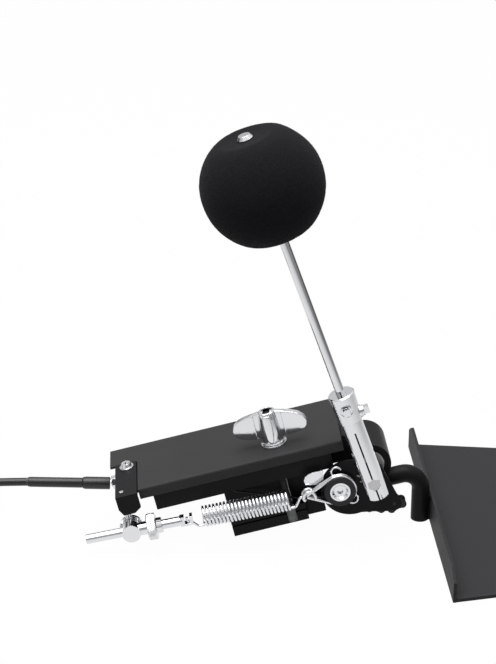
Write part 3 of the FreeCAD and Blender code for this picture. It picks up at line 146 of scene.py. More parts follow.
class Shader:
    """A material under construction."""

    def __init__(self, name: str) -> None:
        """Starts an empty node material.

        Args:
            name: The material's name.
        """
        self.material = bpy.data.materials.new(name)
        self.begin(self.material)

    def begin(self, holder: bpy.types.Material | bpy.types.World) -> None:
        """Empties a node tree to build in.

        Args:
            holder: The material or world that has the tree.
        """
        holder.use_nodes = True
        self.tree = holder.node_tree
        self.tree.nodes.clear()
        self._places: dict[str, bpy.types.NodeSocket] = {}

    @classmethod
    def of_world(cls, world: bpy.types.World) -> "Shader":
        """Starts an empty world.

        Args:
            world: The world.

        Returns:
            The shader that builds it.
        """
        shader = cls.__new__(cls)
        shader.begin(world)
        return shader

    def node(
        self,
        kind: str,
        settings: dict[str, object] | None = None,
        inputs: dict[str | int, object] | None = None,
    ) -> bpy.types.Node:
        """Makes any node.

        Args:
            kind: The node's type.
            settings: Its settings, such as an operation or a ramp's stops, which are set first.
            inputs: Values or links for its sockets, by name or number.

        Returns:
            The node.
        """
        made = self.tree.nodes.new(kind)
        for name, setting in (settings or {}).items():
            if name == "stops":
                elements = made.color_ramp.elements
                while len(elements) < len(setting):
                    elements.new(1.0)
                for element, (position, colour) in zip(elements, setting):
                    element.position = position
                    element.color = (*colour, 1.0)
            else:
                setattr(made, name, setting)
        for name, given in (inputs or {}).items():
            socket = made.inputs[name]
            if isinstance(given, Value):
                self.tree.links.new(given.socket, socket)
            elif isinstance(given, bpy.types.NodeSocket):
                self.tree.links.new(given, socket)
            else:
                socket.default_value = given
        return made

    def place(self, kind: str = "Object") -> bpy.types.NodeSocket:
        """Returns coordinates.

        Args:
            kind: Which ones; the object's own, in metres, unless it says otherwise.
        """
        if kind not in self._places:
            self._places[kind] = self.node("ShaderNodeTexCoord").outputs[kind]
        return self._places[kind]

    def speckle(self, per_metre: float, detail: float = 2.0, stretch: Colour = (1.0, 1.0, 1.0)) -> Value:
        """Makes cloudy noise.

        Args:
            per_metre: Clouds in a metre.
            detail: Octaves of finer noise.
            stretch: Factors on the three axes.

        Returns:
            The noise, about 0.5 on average.
        """
        moved = self.node(
            "ShaderNodeVectorMath", {"operation": "MULTIPLY"}, {0: self.place(), 1: stretch}
        )
        made = self.node(
            "ShaderNodeTexNoise",
            {},
            {"Vector": moved.outputs[0], "Scale": per_metre, "Detail": detail, "Roughness": 0.55},
        )
        return Value(self, made.outputs["Fac"])

    def cells(self, per_metre: float) -> Value:
        """Makes cell noise.

        Args:
            per_metre: Cells in a metre.

        Returns:
            The distance to the nearest cell's middle.
        """
        made = self.node("ShaderNodeTexVoronoi", {}, {"Vector": self.place(), "Scale": per_metre})
        return Value(self, made.outputs["Distance"])

    def blend(self, mask: Operand, low: Colour, high: Colour) -> bpy.types.NodeSocket:
        """Mixes two colours.

        Args:
            mask: 0 for the first colour, 1 for the second.
            low: The first colour.
            high: The second colour.

        Returns:
            The mixed colour.
        """
        mixed = self.node(
            "ShaderNodeMix", {"data_type": "RGBA"}, {0: mask, 6: (*low, 1.0), 7: (*high, 1.0)}
        )
        return mixed.outputs[2]

    def relief(self, height: Value, depth: float, edge: float) -> bpy.types.NodeSocket:
        """Makes the surface's relief, over edges that are eased by a small radius.

        Args:
            height: The relief, from 0 to 1.
            depth: The relief's depth in metres.
            edge: The radius of the eased edges in metres, or 0.

        Returns:
            The normal.
        """
        inputs: dict[str | int, object] = {"Height": height, "Distance": depth, "Strength": 1.0}
        if edge:
            inputs["Normal"] = self.node(
                "ShaderNodeBevel", {"samples": 4}, {"Radius": edge}
            ).outputs["Normal"]
        return self.node("ShaderNodeBump", {}, inputs).outputs["Normal"]

    def principled(self, **inputs: object) -> bpy.types.Material:
        """Ends the material with one Principled surface.

        Args:
            inputs: Its sockets by name, with underscores for spaces.

        Returns:
            The finished material.
        """
        named = {name.replace("_", " "): given for name, given in inputs.items()}
        return self.finish(self.node("ShaderNodeBsdfPrincipled", {}, named))

    def finish(self, surface: bpy.types.Node) -> bpy.types.Material:
        """Ends the material with a surface.

        Args:
            surface: The surface's node.

        Returns:
            The finished material.
        """
        self.node("ShaderNodeOutputMaterial", {}, {"Surface": surface.outputs[0]})
        return self.material

    def glow(self, shade: object) -> bpy.types.Node:
        """Makes a surface that only glows.

        Args:
            shade: The glow's colour.

        Returns:
            The surface's node.
        """
        return self.node("ShaderNodeBsdfPrincipled", {}, {
            "Base Color": (*BLACK, 1.0), "Roughness": 1.0, "Specular IOR Level": 0.0,
            "Emission Color": shade, "Emission Strength": 1.0,
        })


def lighter(colour: Colour, factor: float) -> Colour:
    """Returns a colour scaled by a factor, at most white."""
    return tuple(min(1.0, channel * factor) for channel in colour)


@dataclass(frozen=True)
class PowderCoat:
    """A powder-coated steel surface: fine orange peel, cloudy gloss and a little dust."""

    name: str
    colour: Colour = (0.011, 0.011, 0.012)
    roughness: float = 0.40
    grain_per_metre: float = 900.0
    grain_depth: float = 0.00003
    edge: float = 0.0006
    gloss: float = 0.11
    clouds_per_metre: float = 24.0

    def material(self) -> bpy.types.Material:
        """Returns the finish as a material."""
        shader = Shader(self.name)
        grain = shader.speckle(self.grain_per_metre, 3.0)
        cloud = shader.speckle(self.clouds_per_metre, 4.0)
        dust = shader.speckle(self.grain_per_metre * 0.6, 2.0).above(0.68, 0.78)
        colour = shader.blend(cloud * 0.35 + dust * 0.25, self.colour, lighter(self.colour, 2.2))
        return shader.principled(
            Base_Color=colour,
            Roughness=cloud * 0.12 + dust * 0.10 + (self.roughness - 0.06),
            Normal=shader.relief(grain, self.grain_depth, self.edge),
            Specular_IOR_Level=self.gloss,
        )


@dataclass(frozen=True)
class WrinkleCoat:
    """A matt coat with a coarse wrinkle texture and faint scuffs."""

    name: str
    colour: Colour = (0.022, 0.022, 0.0235)
    roughness: float = 0.62
    grain_per_metre: float = 1500.0
    grain_depth: float = 0.00012
    clouds_per_metre: float = 18.0
    scuffs_per_metre: float = 60.0
    edge: float = 0.0006
    gloss: float = 0.20

    def material(self) -> bpy.types.Material:
        """Returns the finish as a material."""
        shader = Shader(self.name)
        pebbles = shader.cells(self.grain_per_metre)
        cloud = shader.speckle(self.clouds_per_metre, 4.0)
        scuff = shader.speckle(self.scuffs_per_metre, 3.0, (1.0, 0.12, 1.0)).above(0.66, 0.80)
        height = pebbles * 0.7 + shader.speckle(self.grain_per_metre * 1.7, 2.0) * 0.5
        colour = shader.blend(
            pebbles * 0.5 + cloud * 0.35 + scuff * 0.25, self.colour, lighter(self.colour, 2.4)
        )
        return shader.principled(
            Base_Color=colour,
            Roughness=cloud * 0.14 - scuff * 0.10 + (self.roughness - 0.07),
            Normal=shader.relief(height, self.grain_depth, self.edge),
            Specular_IOR_Level=self.gloss,
        )


@dataclass(frozen=True)
class PlatedMetal:
    """Plated or bare metal: bright, with a faint haze and hairline rubbing."""

    name: str
    colour: Colour = (0.80, 0.81, 0.83)
    roughness: float = 0.07
    haze: float = 0.08
    edge: float = 0.0005
    stretch: Colour = (1.0, 1.0, 1.0)
    clouds_per_metre: float = 45.0
    hairs_per_metre: float = 1600.0
    hair_depth: float = 0.000004

    def material(self) -> bpy.types.Material:
        """Returns the finish as a material."""
        shader = Shader(self.name)
        cloud = shader.speckle(self.clouds_per_metre, 4.0)
        hair = shader.speckle(self.hairs_per_metre, 2.0, self.stretch)
        colour = shader.blend(cloud * 0.5, self.colour, lighter(self.colour, 0.82))
        return shader.principled(
            Base_Color=colour,
            Metallic=1.0,
            Roughness=cloud * self.haze + hair * (self.haze * 0.5) + (self.roughness - self.haze * 0.5),
            Normal=shader.relief(hair, self.hair_depth, self.edge),
        )


@dataclass(frozen=True)
class Foam:
    """Dense black foam with a short nap that catches light at its edge."""

    name: str
    colour: Colour = (0.0065, 0.0065, 0.0075)
    fibres_per_metre: float = 1100.0
    fibre_depth: float = 0.0005
    clouds_per_metre: float = 30.0
    gloss: float = 0.15
    sheen: float = 0.08

    def material(self) -> bpy.types.Material:
        """Returns the finish as a material."""
        shader = Shader(self.name)
        fibre = shader.speckle(self.fibres_per_metre, 5.0)
        pore = shader.cells(self.fibres_per_metre * 0.8)
        cloud = shader.speckle(self.clouds_per_metre, 4.0)
        colour = shader.blend(
            fibre.above(0.42, 0.72) * 0.6 + cloud * 0.3, self.colour, lighter(self.colour, 3.2)
        )
        return shader.principled(
            Base_Color=colour,
            Roughness=0.90 + cloud * 0.08,
            Normal=shader.relief(fibre * 0.7 + pore * 0.5, self.fibre_depth, 0.0),
            Specular_IOR_Level=self.gloss,
            Sheen_Weight=self.sheen,
            Sheen_Roughness=0.5,
            Sheen_Tint=(0.35, 0.36, 0.40, 1.0),
        )


@dataclass(frozen=True)
class Moulded:
    """Moulded rubber or plastic with a faint grain."""

    name: str
    colour: Colour = (0.012, 0.012, 0.013)
    roughness: float = 0.30
    grain_per_metre: float = 1300.0
    grain_depth: float = 0.00002
    clouds_per_metre: float = 35.0
    edge: float = 0.0004

    def material(self) -> bpy.types.Material:
        """Returns the finish as a material."""
        shader = Shader(self.name)
        grain = shader.speckle(self.grain_per_metre, 3.0)
        cloud = shader.speckle(self.clouds_per_metre, 4.0)
        colour = shader.blend(cloud * 0.6 + grain * 0.2, self.colour, lighter(self.colour, 1.9))
        return shader.principled(
            Base_Color=colour,
            Roughness=cloud * 0.14 + grain * 0.06 + (self.roughness - 0.10),
            Normal=shader.relief(grain, self.grain_depth, self.edge),
        )


class Finish(Enum):
    """The finishes of the unit; each is made once, when it is first used."""

    SATIN_BLACK = PowderCoat("satin_black_coat")
    COVER_TOP = PowderCoat("cover_coat", colour=(0.036, 0.036, 0.037), roughness=0.46, gloss=0.16)
    WRINKLE = WrinkleCoat("wrinkle_coat")
    CHROME = PlatedMetal("chrome_plate")
    CAST_CHROME = PlatedMetal("cast_chrome", roughness=0.10, haze=0.10)
    STEEL = PlatedMetal(
        "bright_steel", colour=(0.52, 0.52, 0.53), roughness=0.24, haze=0.14, stretch=(1.0, 0.08, 1.0)
    )
    BLACK_STEEL = PlatedMetal("black_steel", colour=(0.035, 0.035, 0.038), roughness=0.36, haze=0.16)
    FOAM = Foam("black_foam")
    GREY_RUBBER = Moulded("grey_rubber", colour=(0.32, 0.33, 0.33), roughness=0.68, grain_depth=0.00006)
    JACKET = Moulded("cable_jacket_plastic")
    MARK = Moulded("index_paint", colour=(0.72, 0.72, 0.70), roughness=0.55)

    def material(self) -> bpy.types.Material:
        """Returns the finish's material, made on the first call."""
        return bpy.data.materials.get(self.value.name) or self.value.material()


def dress(item: bpy.types.Object, finish: Finish) -> None:
    """Gives an object one finish.

    Args:
        item: The object.
        finish: Its finish.
    """
    item.data.materials.clear()
    item.data.materials.append(finish.material())


@dataclass(frozen=True)
class Place:
    """A frame of axes in the row frame."""

    origin: Vector
    along: Vector
    side: Vector

    def matrix(self) -> Matrix:
        """Returns the matrix that takes the frame's own x, y and z to the row frame."""
        x = self.along.normalized()
        z = x.cross(self.side).normalized()
        y = z.cross(x)
        turned = Matrix((x, y, z)).transposed().to_4x4()
        return Matrix.Translation(self.origin) @ turned

    def shifted(self, x: float, y: float, z: float) -> "Place":
        """Returns the same axes at another point of this frame.

        Args:
            x: Metres along the frame's x.
            y: Metres along its y.
            z: Metres along its z.
        """
        return Place(self.matrix() @ Vector((x, y, z)), self.along, self.side)


class Frames:
    """The unit's own axes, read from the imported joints."""

    def __init__(self, joints: Iterable[dict]) -> None:
        """Reads the joints.

        Args:
            joints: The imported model's joints.
        """
        named = {joint["name"]: joint for joint in joints}
        back = Vector((0.0, 1.0, 0.0))
        swing = named["beater_swing"]
        self.unit = Place(Vector(swing["pos_m"]), Vector(named["bar_slide"]["axis"]), back)
        rod = Vector(named["rod_height"]["axis"])
        hub_y = named["hub_clamp_bolt_turn"]["pos_m"][1]
        shaft = Vector((swing["pos_m"][0], hub_y, swing["pos_m"][2]))
        self.beater = Place(shaft, back.cross(rod), back)
        tilt = named["spring_tilt"]
        self.spring = Place(Vector(tilt["pos_m"]), Vector(named["thumb_nut_turn"]["axis"]), back)
        self.joints = named

    def point(self, name: str) -> Vector:
        """Returns the point that a hinge turns about.

        Args:
            name: The joint's name.
        """
        return Vector(self.joints[name]["pos_m"])


@dataclass
class Piece:
    """One mesh under construction, which then rides on a body."""

    name: str
    body: str
    finish: Finish
    stands_for: tuple[str, ...] = ()

    def settle(self, mesh: bmesh.types.BMesh, place: Matrix, sharp: float = 35.0) -> bpy.types.Object:
        """Turns the mesh into an object on its body.

        Args:
            mesh: The mesh, in its own frame.
            place: Where the frame stands.
            sharp: The angle in degrees above which an edge stays sharp.

        Returns:
            The object.
        """
        bmesh.ops.recalc_face_normals(mesh, faces=mesh.faces)
        data = bpy.data.meshes.new(self.name)
        mesh.to_mesh(data)
        mesh.free()
        data.transform(place)
        for face in data.polygons:
            face.use_smooth = True
        data.set_sharp_from_angle(angle=math.radians(sharp))
        return self.mount(show(self.name, data))

    def mount(self, item: bpy.types.Object) -> bpy.types.Object:
        """Dresses an object, sets it on the body and says what it stands for.

        Args:
            item: The object.

        Returns:
            The same object.
        """
        dress(item, self.finish)
        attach(item, self.body)
        if self.stands_for:
            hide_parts(*self.stands_for)
        LOG.info("%s rides on %s", self.name, self.body)
        return item


def turned(
    outline: Outline,
    around: int = 64,
    shape: Callable[[float, float], float] | None = None,
) -> bmesh.types.BMesh:
    """Turns an outline of radii and heights round the z axis.

    Args:
        outline: Pairs of radius and height; a radius of 0 closes the end in a point.
        around: Points in a turn.
        shape: Adds to the radius by angle and height, for knurls and threads.

    Returns:
        The mesh.
    """
    mesh = bmesh.new()
    rings: list[list[bmesh.types.BMVert]] = []
    for radius, height in outline:
        if radius <= 0:
            rings.append([mesh.verts.new((0.0, 0.0, height))])
            continue
        ring = []
        for step in range(around):
            angle = FULL_TURN * step / around
            reach = radius + (shape(angle, height) if shape else 0.0)
            ring.append(mesh.verts.new((reach * math.cos(angle), reach * math.sin(angle), height)))
        rings.append(ring)
    for low, high in zip(rings, rings[1:]):
        for step in range(around):
            corners = [low[step % len(low)], low[(step + 1) % len(low)]]
            corners += [high[(step + 1) % len(high)], high[step % len(high)]]
            unique = list(dict.fromkeys(corners))
            if len(unique) > 2:
                mesh.faces.new(unique)
    for ring in (rings[0], rings[-1]):
        if len(ring) > 1 and tuple(outline[0]) != tuple(outline[-1]):
            mesh.faces.new(ring)
    if tuple(outline[0]) == tuple(outline[-1]):
        bmesh.ops.remove_doubles(mesh, verts=mesh.verts, dist=1e-7)
    return mesh


def threaded(radius: float, start: float, end: float, pitch: float, depth: float) -> bmesh.types.BMesh:
    """Makes a screw thread along z.

    Args:
        radius: The thread's outer radius.
        start: Its lower end.
        end: Its upper end.
        pitch: Its pitch.
        depth: Its depth.

    Returns:
        The mesh.
    """
    steps = max(8, round((end - start) / pitch * 6))

    def wave(angle: float, height: float) -> float:
        """Returns how far the thread lies below its crest at a point.

        Args:
            angle: The point's angle.
            height: Its height.
        """
        phase = ((height - start) / pitch - angle / FULL_TURN) % 1.0
        return -depth * abs(2 * phase - 1)

    outline = [(radius, start + (end - start) * step / steps) for step in range(steps + 1)]
    closed = [(radius * 0.72, start - 0.0002), *outline, (radius * 0.72, end + 0.0002)]
    return turned([(0.0, start - 0.0002), *closed, (0.0, end + 0.0002)], 32, wave)


def skin(mesh: bmesh.types.BMesh, rings: Sequence[Sequence[Vector]]) -> bmesh.types.BMesh:
    """Covers rings of points, which have as many points each, and closes both ends.

    Args:
        mesh: The mesh to add to.
        rings: The rings in order.

    Returns:
        The same mesh.
    """
    rows = [[mesh.verts.new(point) for point in ring] for ring in rings]
    for low, high in zip(rows, rows[1:]):
        for step in range(len(low)):
            after = (step + 1) % len(low)
            mesh.faces.new([low[step], low[after], high[after], high[step]])
    mesh.faces.new(rows[0])
    mesh.faces.new(rows[-1])
    return mesh


def join(mesh: bmesh.types.BMesh, other: bmesh.types.BMesh, place: Matrix = Matrix.Identity(4)) -> None:
    """Adds another mesh to this one and frees it.

    Args:
        mesh: The mesh to add to.
        other: The mesh to add.
        place: Where it goes.
    """
    data = bpy.data.meshes.new("joined")
    other.to_mesh(data)
    other.free()
    data.transform(place)
    mesh.from_mesh(data)
    bpy.data.meshes.remove(data)


def box(size: Sequence[float], middle: Sequence[float], soft: float, segments: int) -> bmesh.types.BMesh:
    """Makes a box with eased edges.

    Args:
        size: Its sides.
        middle: Its middle.
        soft: How far its edges are eased.
        segments: Facets across an eased edge.

    Returns:
        The mesh.
    """
    mesh = bmesh.new()
    bmesh.ops.create_cube(mesh, size=1.0)
    for vertex in mesh.verts:
        vertex.co = Vector(m + side * share for m, side, share in zip(middle, size, vertex.co))
    bmesh.ops.bevel(mesh, geom=mesh.edges[:], offset=soft, segments=segments, affect="EDGES")
    return mesh


def sheet(name: str, side: float) -> bpy.types.Mesh:
    """Makes a flat square.

    Args:
        name: The mesh's name.
        side: The square's side.

    Returns:
        The mesh.
    """
    mesh = bmesh.new()
    bmesh.ops.create_grid(mesh, x_segments=1, y_segments=1, size=side / 2)
    data = bpy.data.meshes.new(name)
    mesh.to_mesh(data)
    mesh.free()
    return data


def show(name: str, data: bpy.types.ID | None) -> bpy.types.Object:
    """Puts data into the scene as an object.

    Args:
        name: The object's name.
        data: Its mesh, curve, camera or lamp.

    Returns:
        The object.
    """
    item = bpy.data.objects.new(name, data)
    bpy.context.scene.collection.objects.link(item)
    return item


@dataclass
class CadDress:
    """The finishes of the CAD nodes that keep their own shape."""

    worn_by: dict[Finish, tuple[str, ...]] = field(
        default_factory=lambda: {
            Finish.SATIN_BLACK: (
                "channel_frame", "receiver_block", "bearing_housing", "cable_bracket", "rocker_plate",
                "gooseneck_bar",
            ),
            Finish.COVER_TOP: ("top_cover",),
            Finish.WRINKLE: ("base_plate",),
            Finish.CHROME: (
                "wing_bolt_washer", "beater_hub", "beater_rod", "rod_height_bolt",
                "rod_angle_bolt", "swivel_post", "swivel_post_rivet", "swivel_barrel", "tension_rod",
                "bracket_screw", "cable_lock_nut_outer", "cable_lock_nut_inner", "cable_end_nut",
                "pivot_screw", "return_spring", "levelling_nut", "beater_head_cap",
            ),
            Finish.STEEL: (
                "beater_shaft", "shaft_collar", "bearing_outer_front", "bearing_outer_back",
                "bearing_inner_front", "bearing_inner_back", "cable_end_wire",
            ),
            Finish.BLACK_STEEL: (
                "drive_chain", "chain_clevis", "chain_anchor_pin", "shaft_collar_screw", "pivot_ring",
                # The inner wire wears black steel as painted shade: the bright steel wire is darkened
                # because it lies in the shade under the channel.
                "inner_wire", "hub_clamp_bolt",
            ),
        }
    )

    def build(self, nodes: dict[str, bpy.types.Object]) -> None:
        """Dresses the nodes.

        Args:
            nodes: The CAD nodes by name.
        """
        for finish, names in self.worn_by.items():
            for name in names:
                dress(nodes[name], finish)
            LOG.info("%s on %d nodes", finish.value.name, len(names))


@dataclass
class Cable:
    """The cable: one smooth cord through its route, coil and tail, with its sleeves and end."""

    radius: float = 3.55 * MM
    length: float = 1.37
    coil_centre: tuple[float, float] = (-0.518, 0.074)
    outer_turn: float = 42.55 * MM
    inner_turn: float = 35.45 * MM
    low: float = 3.6 * MM
    high: float = 10.7 * MM
    points_in_turn: int = 16
    mouth: float = 3.0 * MM
    sleeve_rise: float = 3.0
    exit: tuple[float, float, float] = (-0.423497, 0.004, 0.047288)
    route: tuple[tuple[float, float, float], ...] = (
        (-0.455, 0.004, 0.048),
        (-0.490, 0.004, 0.0465),
        (-0.521, 0.006, 0.037),
        (-0.544, 0.016, 0.022),
        (-0.557, 0.034, 0.009),
        (-0.5605, 0.056, 0.0037),
    )
    tail: tuple[tuple[float, float, float], ...] = (
        (-0.4752, 0.048, 0.0102),
        (-0.474, 0.022, 0.0057),
        (-0.473, 0.0, 0.0052),
    )

    def turns(self) -> list[tuple[float, float, float]]:
        """Returns the coil's points: two turns on the floor, then two and a half on top of them."""
        plan = [
            (0.0, self.outer_turn, self.low),
            (0.9, self.outer_turn, self.low),
            (1.1, self.inner_turn, self.low),
            (1.9, self.inner_turn, self.low),
            (2.15, self.inner_turn, self.high),
            (2.9, self.inner_turn, self.high),
            (3.1, self.outer_turn, self.high),
            (4.5, self.outer_turn, self.high),
        ]
        points = []
        for step in range(int(plan[-1][0] * self.points_in_turn) + 1):
            turn = step / self.points_in_turn
            for (start, radius_a, height_a), (end, radius_b, height_b) in zip(plan, plan[1:]):
                if turn <= end:
                    share = (turn - start) / (end - start)
                    break
            radius = radius_a + (radius_b - radius_a) * share
            height = height_a + (height_b - height_a) * share
            angle = math.pi - FULL_TURN * turn
            x, y = self.coil_centre
            points.append((x + radius * math.cos(angle), y + radius * math.sin(angle), height))
        return points

    def sleeve(self, name: str, radius: float, lip: float, nodes: dict[str, bpy.types.Object]) -> None:
        """Makes one moulded sleeve with rounded shoulders over its CAD node.

        Args:
            name: The CAD node.
            radius: The sleeve's radius.
            lip: How much the far end draws in.
            nodes: The CAD nodes by name.
        """
        points = [vertex.co for vertex in nodes[name].data.vertices]
        edge = max(point.x for point in points) - self.mouth
        mouth = [point for point in points if point.x > edge]
        near = sum(mouth, Vector()) / len(mouth)
        low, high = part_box(name)
        rise = math.radians(self.sleeve_rise)
        away = Vector((-math.cos(rise), 0.0, math.sin(rise)))
        reach = (high.x - low.x) / math.cos(rise) - 2 * radius * math.tan(rise)
        start = Vector((high.x - radius * math.sin(rise), near.y, 0.0))
        start.z = (low.z + high.z) / 2 - (reach / 2) * math.sin(rise)
        turn = away.to_track_quat("Z", "Y").to_matrix().to_4x4()
        outline = [
            (0.0, 0.0), (radius * 0.88, 0.0), (radius * 0.97, 0.0003), (radius, 0.0009),
            (radius, reach * 0.5), (radius, reach - 0.003), (radius - lip * 0.3, reach - 0.0015),
            (radius - lip * 0.6, reach - 0.0006), (radius - lip, reach), (0.0, reach),
        ]
        piece = Piece(f"{name}_moulding", "frame", Finish.JACKET, (name,))
        piece.settle(turned(outline, 48), Matrix.Translation(start) @ turn)

    def build(self, nodes: dict[str, bpy.types.Object]) -> None:
        """Args:
            nodes: The CAD nodes by name.
        """
        points = [self.exit, *self.route, *self.turns(), *self.tail]
        curve = bpy.data.curves.new("drive_cable", "CURVE")
        curve.dimensions = "3D"
        spline = curve.splines.new("NURBS")
        spline.points.add(len(points) - 1)
        for point, place in zip(spline.points, points):
            point.co = (*place, 1.0)
        spline.order_u = 3
        spline.use_endpoint_u = True
        spline.resolution_u = 6
        curve.bevel_depth = self.radius
        curve.bevel_resolution = 6
        curve.use_fill_caps = True
        cord = show("drive_cable", curve)
        stands_for = ("cable_jacket", "cable_coil", "cable_tail")
        Piece("drive_cable", "frame", Finish.JACKET, stands_for).mount(cord)
        self.sleeve("cable_sleeve_large", 5.45 * MM, 0.8 * MM, nodes)
        self.sleeve("cable_sleeve_small", 4.4 * MM, 0.8 * MM, nodes)
        for name in ("cable_ferrule", "cable_end_ferrule"):
            dress(nodes[name], Finish.CHROME)


@dataclass
class BeaterHead:
    """The foam head on the rod: flattened above and below, dished on top, with a soft nap."""

    distance: float = 285.0 * MM
    radius: float = 50.5 * MM
    flat: float = 44.0 * MM
    easing: float = 0.20
    ease_in: float = 1.4 * MM
    ease_down: float = 0.9 * MM
    dish: float = 2.2 * MM
    foot_steps: int = 8
    side_steps: int = 84
    dish_steps: int = 12
    cap_radius: float = 6.8 * MM
    rod_radius: float = 4.05 * MM
    lump: float = 0.45 * MM
    strands: int = 9000
    strand_length: float = 0.9 * MM
    strand_half_width: float = 0.04 * MM
    strand_root: float = 0.2 * MM
    strand_lean: float = 0.8
    seed: int = 11

    def outline(self) -> list[tuple[float, float]]:
        """Returns the head's section from its foot to its cap."""
        points = [(self.rod_radius, -self.flat)]
        ring = math.sqrt(self.radius**2 - self.flat**2)
        edge = math.asin(self.flat / self.radius)
        foot = ring * 0.72 - self.rod_radius
        for step in range(self.foot_steps):
            points.append((self.rod_radius + foot * (step + 1) / self.foot_steps, -self.flat))
        for step in range(self.side_steps + 1):
            angle = -edge + 2 * edge * step / self.side_steps
            near = max(0.0, (abs(angle) - (edge - self.easing)) / self.easing)
            points.append((
                self.radius * math.cos(angle) - near**2 * self.ease_in,
                self.radius * math.sin(angle) - math.copysign(near**2 * self.ease_down, angle),
            ))
        for step in range(self.dish_steps):
            share = (step + 1) / self.dish_steps
            radius = ring * (1 - share) * 0.86 + self.cap_radius * share
            points.append((radius, self.flat - self.dish * (1 - (radius / ring) ** 2) - 0.0006))
        floor = self.flat - self.dish - 0.0012
        return [*points, (self.cap_radius, floor), (0.0, floor)]

    def build(self, place: Place) -> None:
        """Makes the head and its nap.

        Args:
            place: The beater's frame.
        """
        mesh = turned([(0.0, -self.flat), *self.outline()], 160)
        for vertex in mesh.verts:
            reach = Vector((vertex.co.x, vertex.co.y, 0.0)).length
            if reach < self.cap_radius + 0.001:
                continue
            seed = vertex.co * 38.0
            swell = noise.noise(seed) * self.lump + noise.noise(seed * 9.0) * self.lump * 0.30
            vertex.co += vertex.co.normalized() * (swell - self.lump * 0.5)
        stand = place.shifted(0.0, 0.0, self.distance).matrix()
        piece = Piece("beater_head_foam", "beater_rod", Finish.FOAM, ("beater_head",))
        head = piece.settle(mesh, stand, 60)
        self.nap(head)

    def nap(self, head: bpy.types.Object) -> None:
        """Scatters short fibres over the head.

        Args:
            head: The head.
        """
        chance = random.Random(self.seed)
        mesh = bmesh.new()
        centre = sum((v.co for v in head.data.vertices), Vector()) / len(head.data.vertices)
        bare = self.cap_radius * 4
        faces = [face for face in head.data.polygons if (face.center - centre).length > bare]
        areas = [face.area for face in faces]
        for face in chance.choices(faces, weights=areas, k=self.strands):
            corners = [head.data.vertices[index].co for index in face.vertices]
            a, b = chance.random(), chance.random()
            root = corners[0].lerp(corners[1], a).lerp(corners[-1].lerp(corners[-2], a), b)
            lean = Vector([chance.uniform(-1, 1) for _ in range(3)])
            way = (face.normal + lean * self.strand_lean).normalized()
            tip = root + way * self.strand_length * chance.uniform(0.4, 1.0)
            side = face.normal.cross(lean).normalized() * self.strand_half_width
            root -= face.normal * self.strand_root
            mesh.faces.new([mesh.verts.new(spot) for spot in (root - side, root + side, tip)])
        Piece("beater_head_nap", "beater_rod", Finish.FOAM).settle(mesh, Matrix.Identity(4))


@dataclass
class ThumbNut:
    """The knurled thumb nut on the tension rod."""

    start: float = 14.0 * MM
    width: float = 8.0 * MM
    radius: float = 11.5 * MM
    nose_radius: float = 6.8 * MM
    nose: float = 5.0 * MM
    bore: float = 4.25 * MM
    teeth: int = 44
    tooth: float = 0.7 * MM
    bevel: float = 1.2 * MM

    def build(self, place: Place) -> None:
        """Makes the nut.

        Args:
            place: The spring's frame.
        """
        low, high = self.bevel, self.width - self.bevel

        def knurl(angle: float, height: float) -> float:
            """Returns the crossed knurl's depth at a point.

            Args:
                angle: The point's angle.
                height: Its height.
            """
            if not low - 1e-6 <= height <= high + 1e-6:
                return 0.0
            lean = (height - low) / (high - low) * FULL_TURN
            right = abs(math.sin(self.teeth / 2 * angle + lean))
            left = abs(math.sin(self.teeth / 2 * angle - lean))
            return -self.tooth * (1 - min(right, left))

        tip = self.width + self.nose
        rows = [(self.radius, low + (high - low) * step / 12) for step in range(13)]
        outline = [
            (self.bore, 0.0), (self.nose_radius, 0.0), (self.radius - self.bevel, 0.0),
            (self.radius - 0.0004, 0.0004), *rows, (self.radius - 0.0004, self.width - 0.0004),
            (self.radius - self.bevel, self.width), (self.nose_radius + 0.0005, self.width),
            (self.nose_radius, self.width + 0.0005), (self.nose_radius, tip - 0.0006),
            (self.nose_radius - 0.0006, tip), (self.bore, tip), (self.bore, 0.0),
        ]
        piece = Piece("thumb_nut_knurled", "thumb_nut", Finish.CHROME, ("thumb_nut",))
        stand = place.shifted(self.start, 0.0, 0.0).matrix() @ Z_TO_X
        piece.settle(turned(outline, 176, knurl), stand, 50)


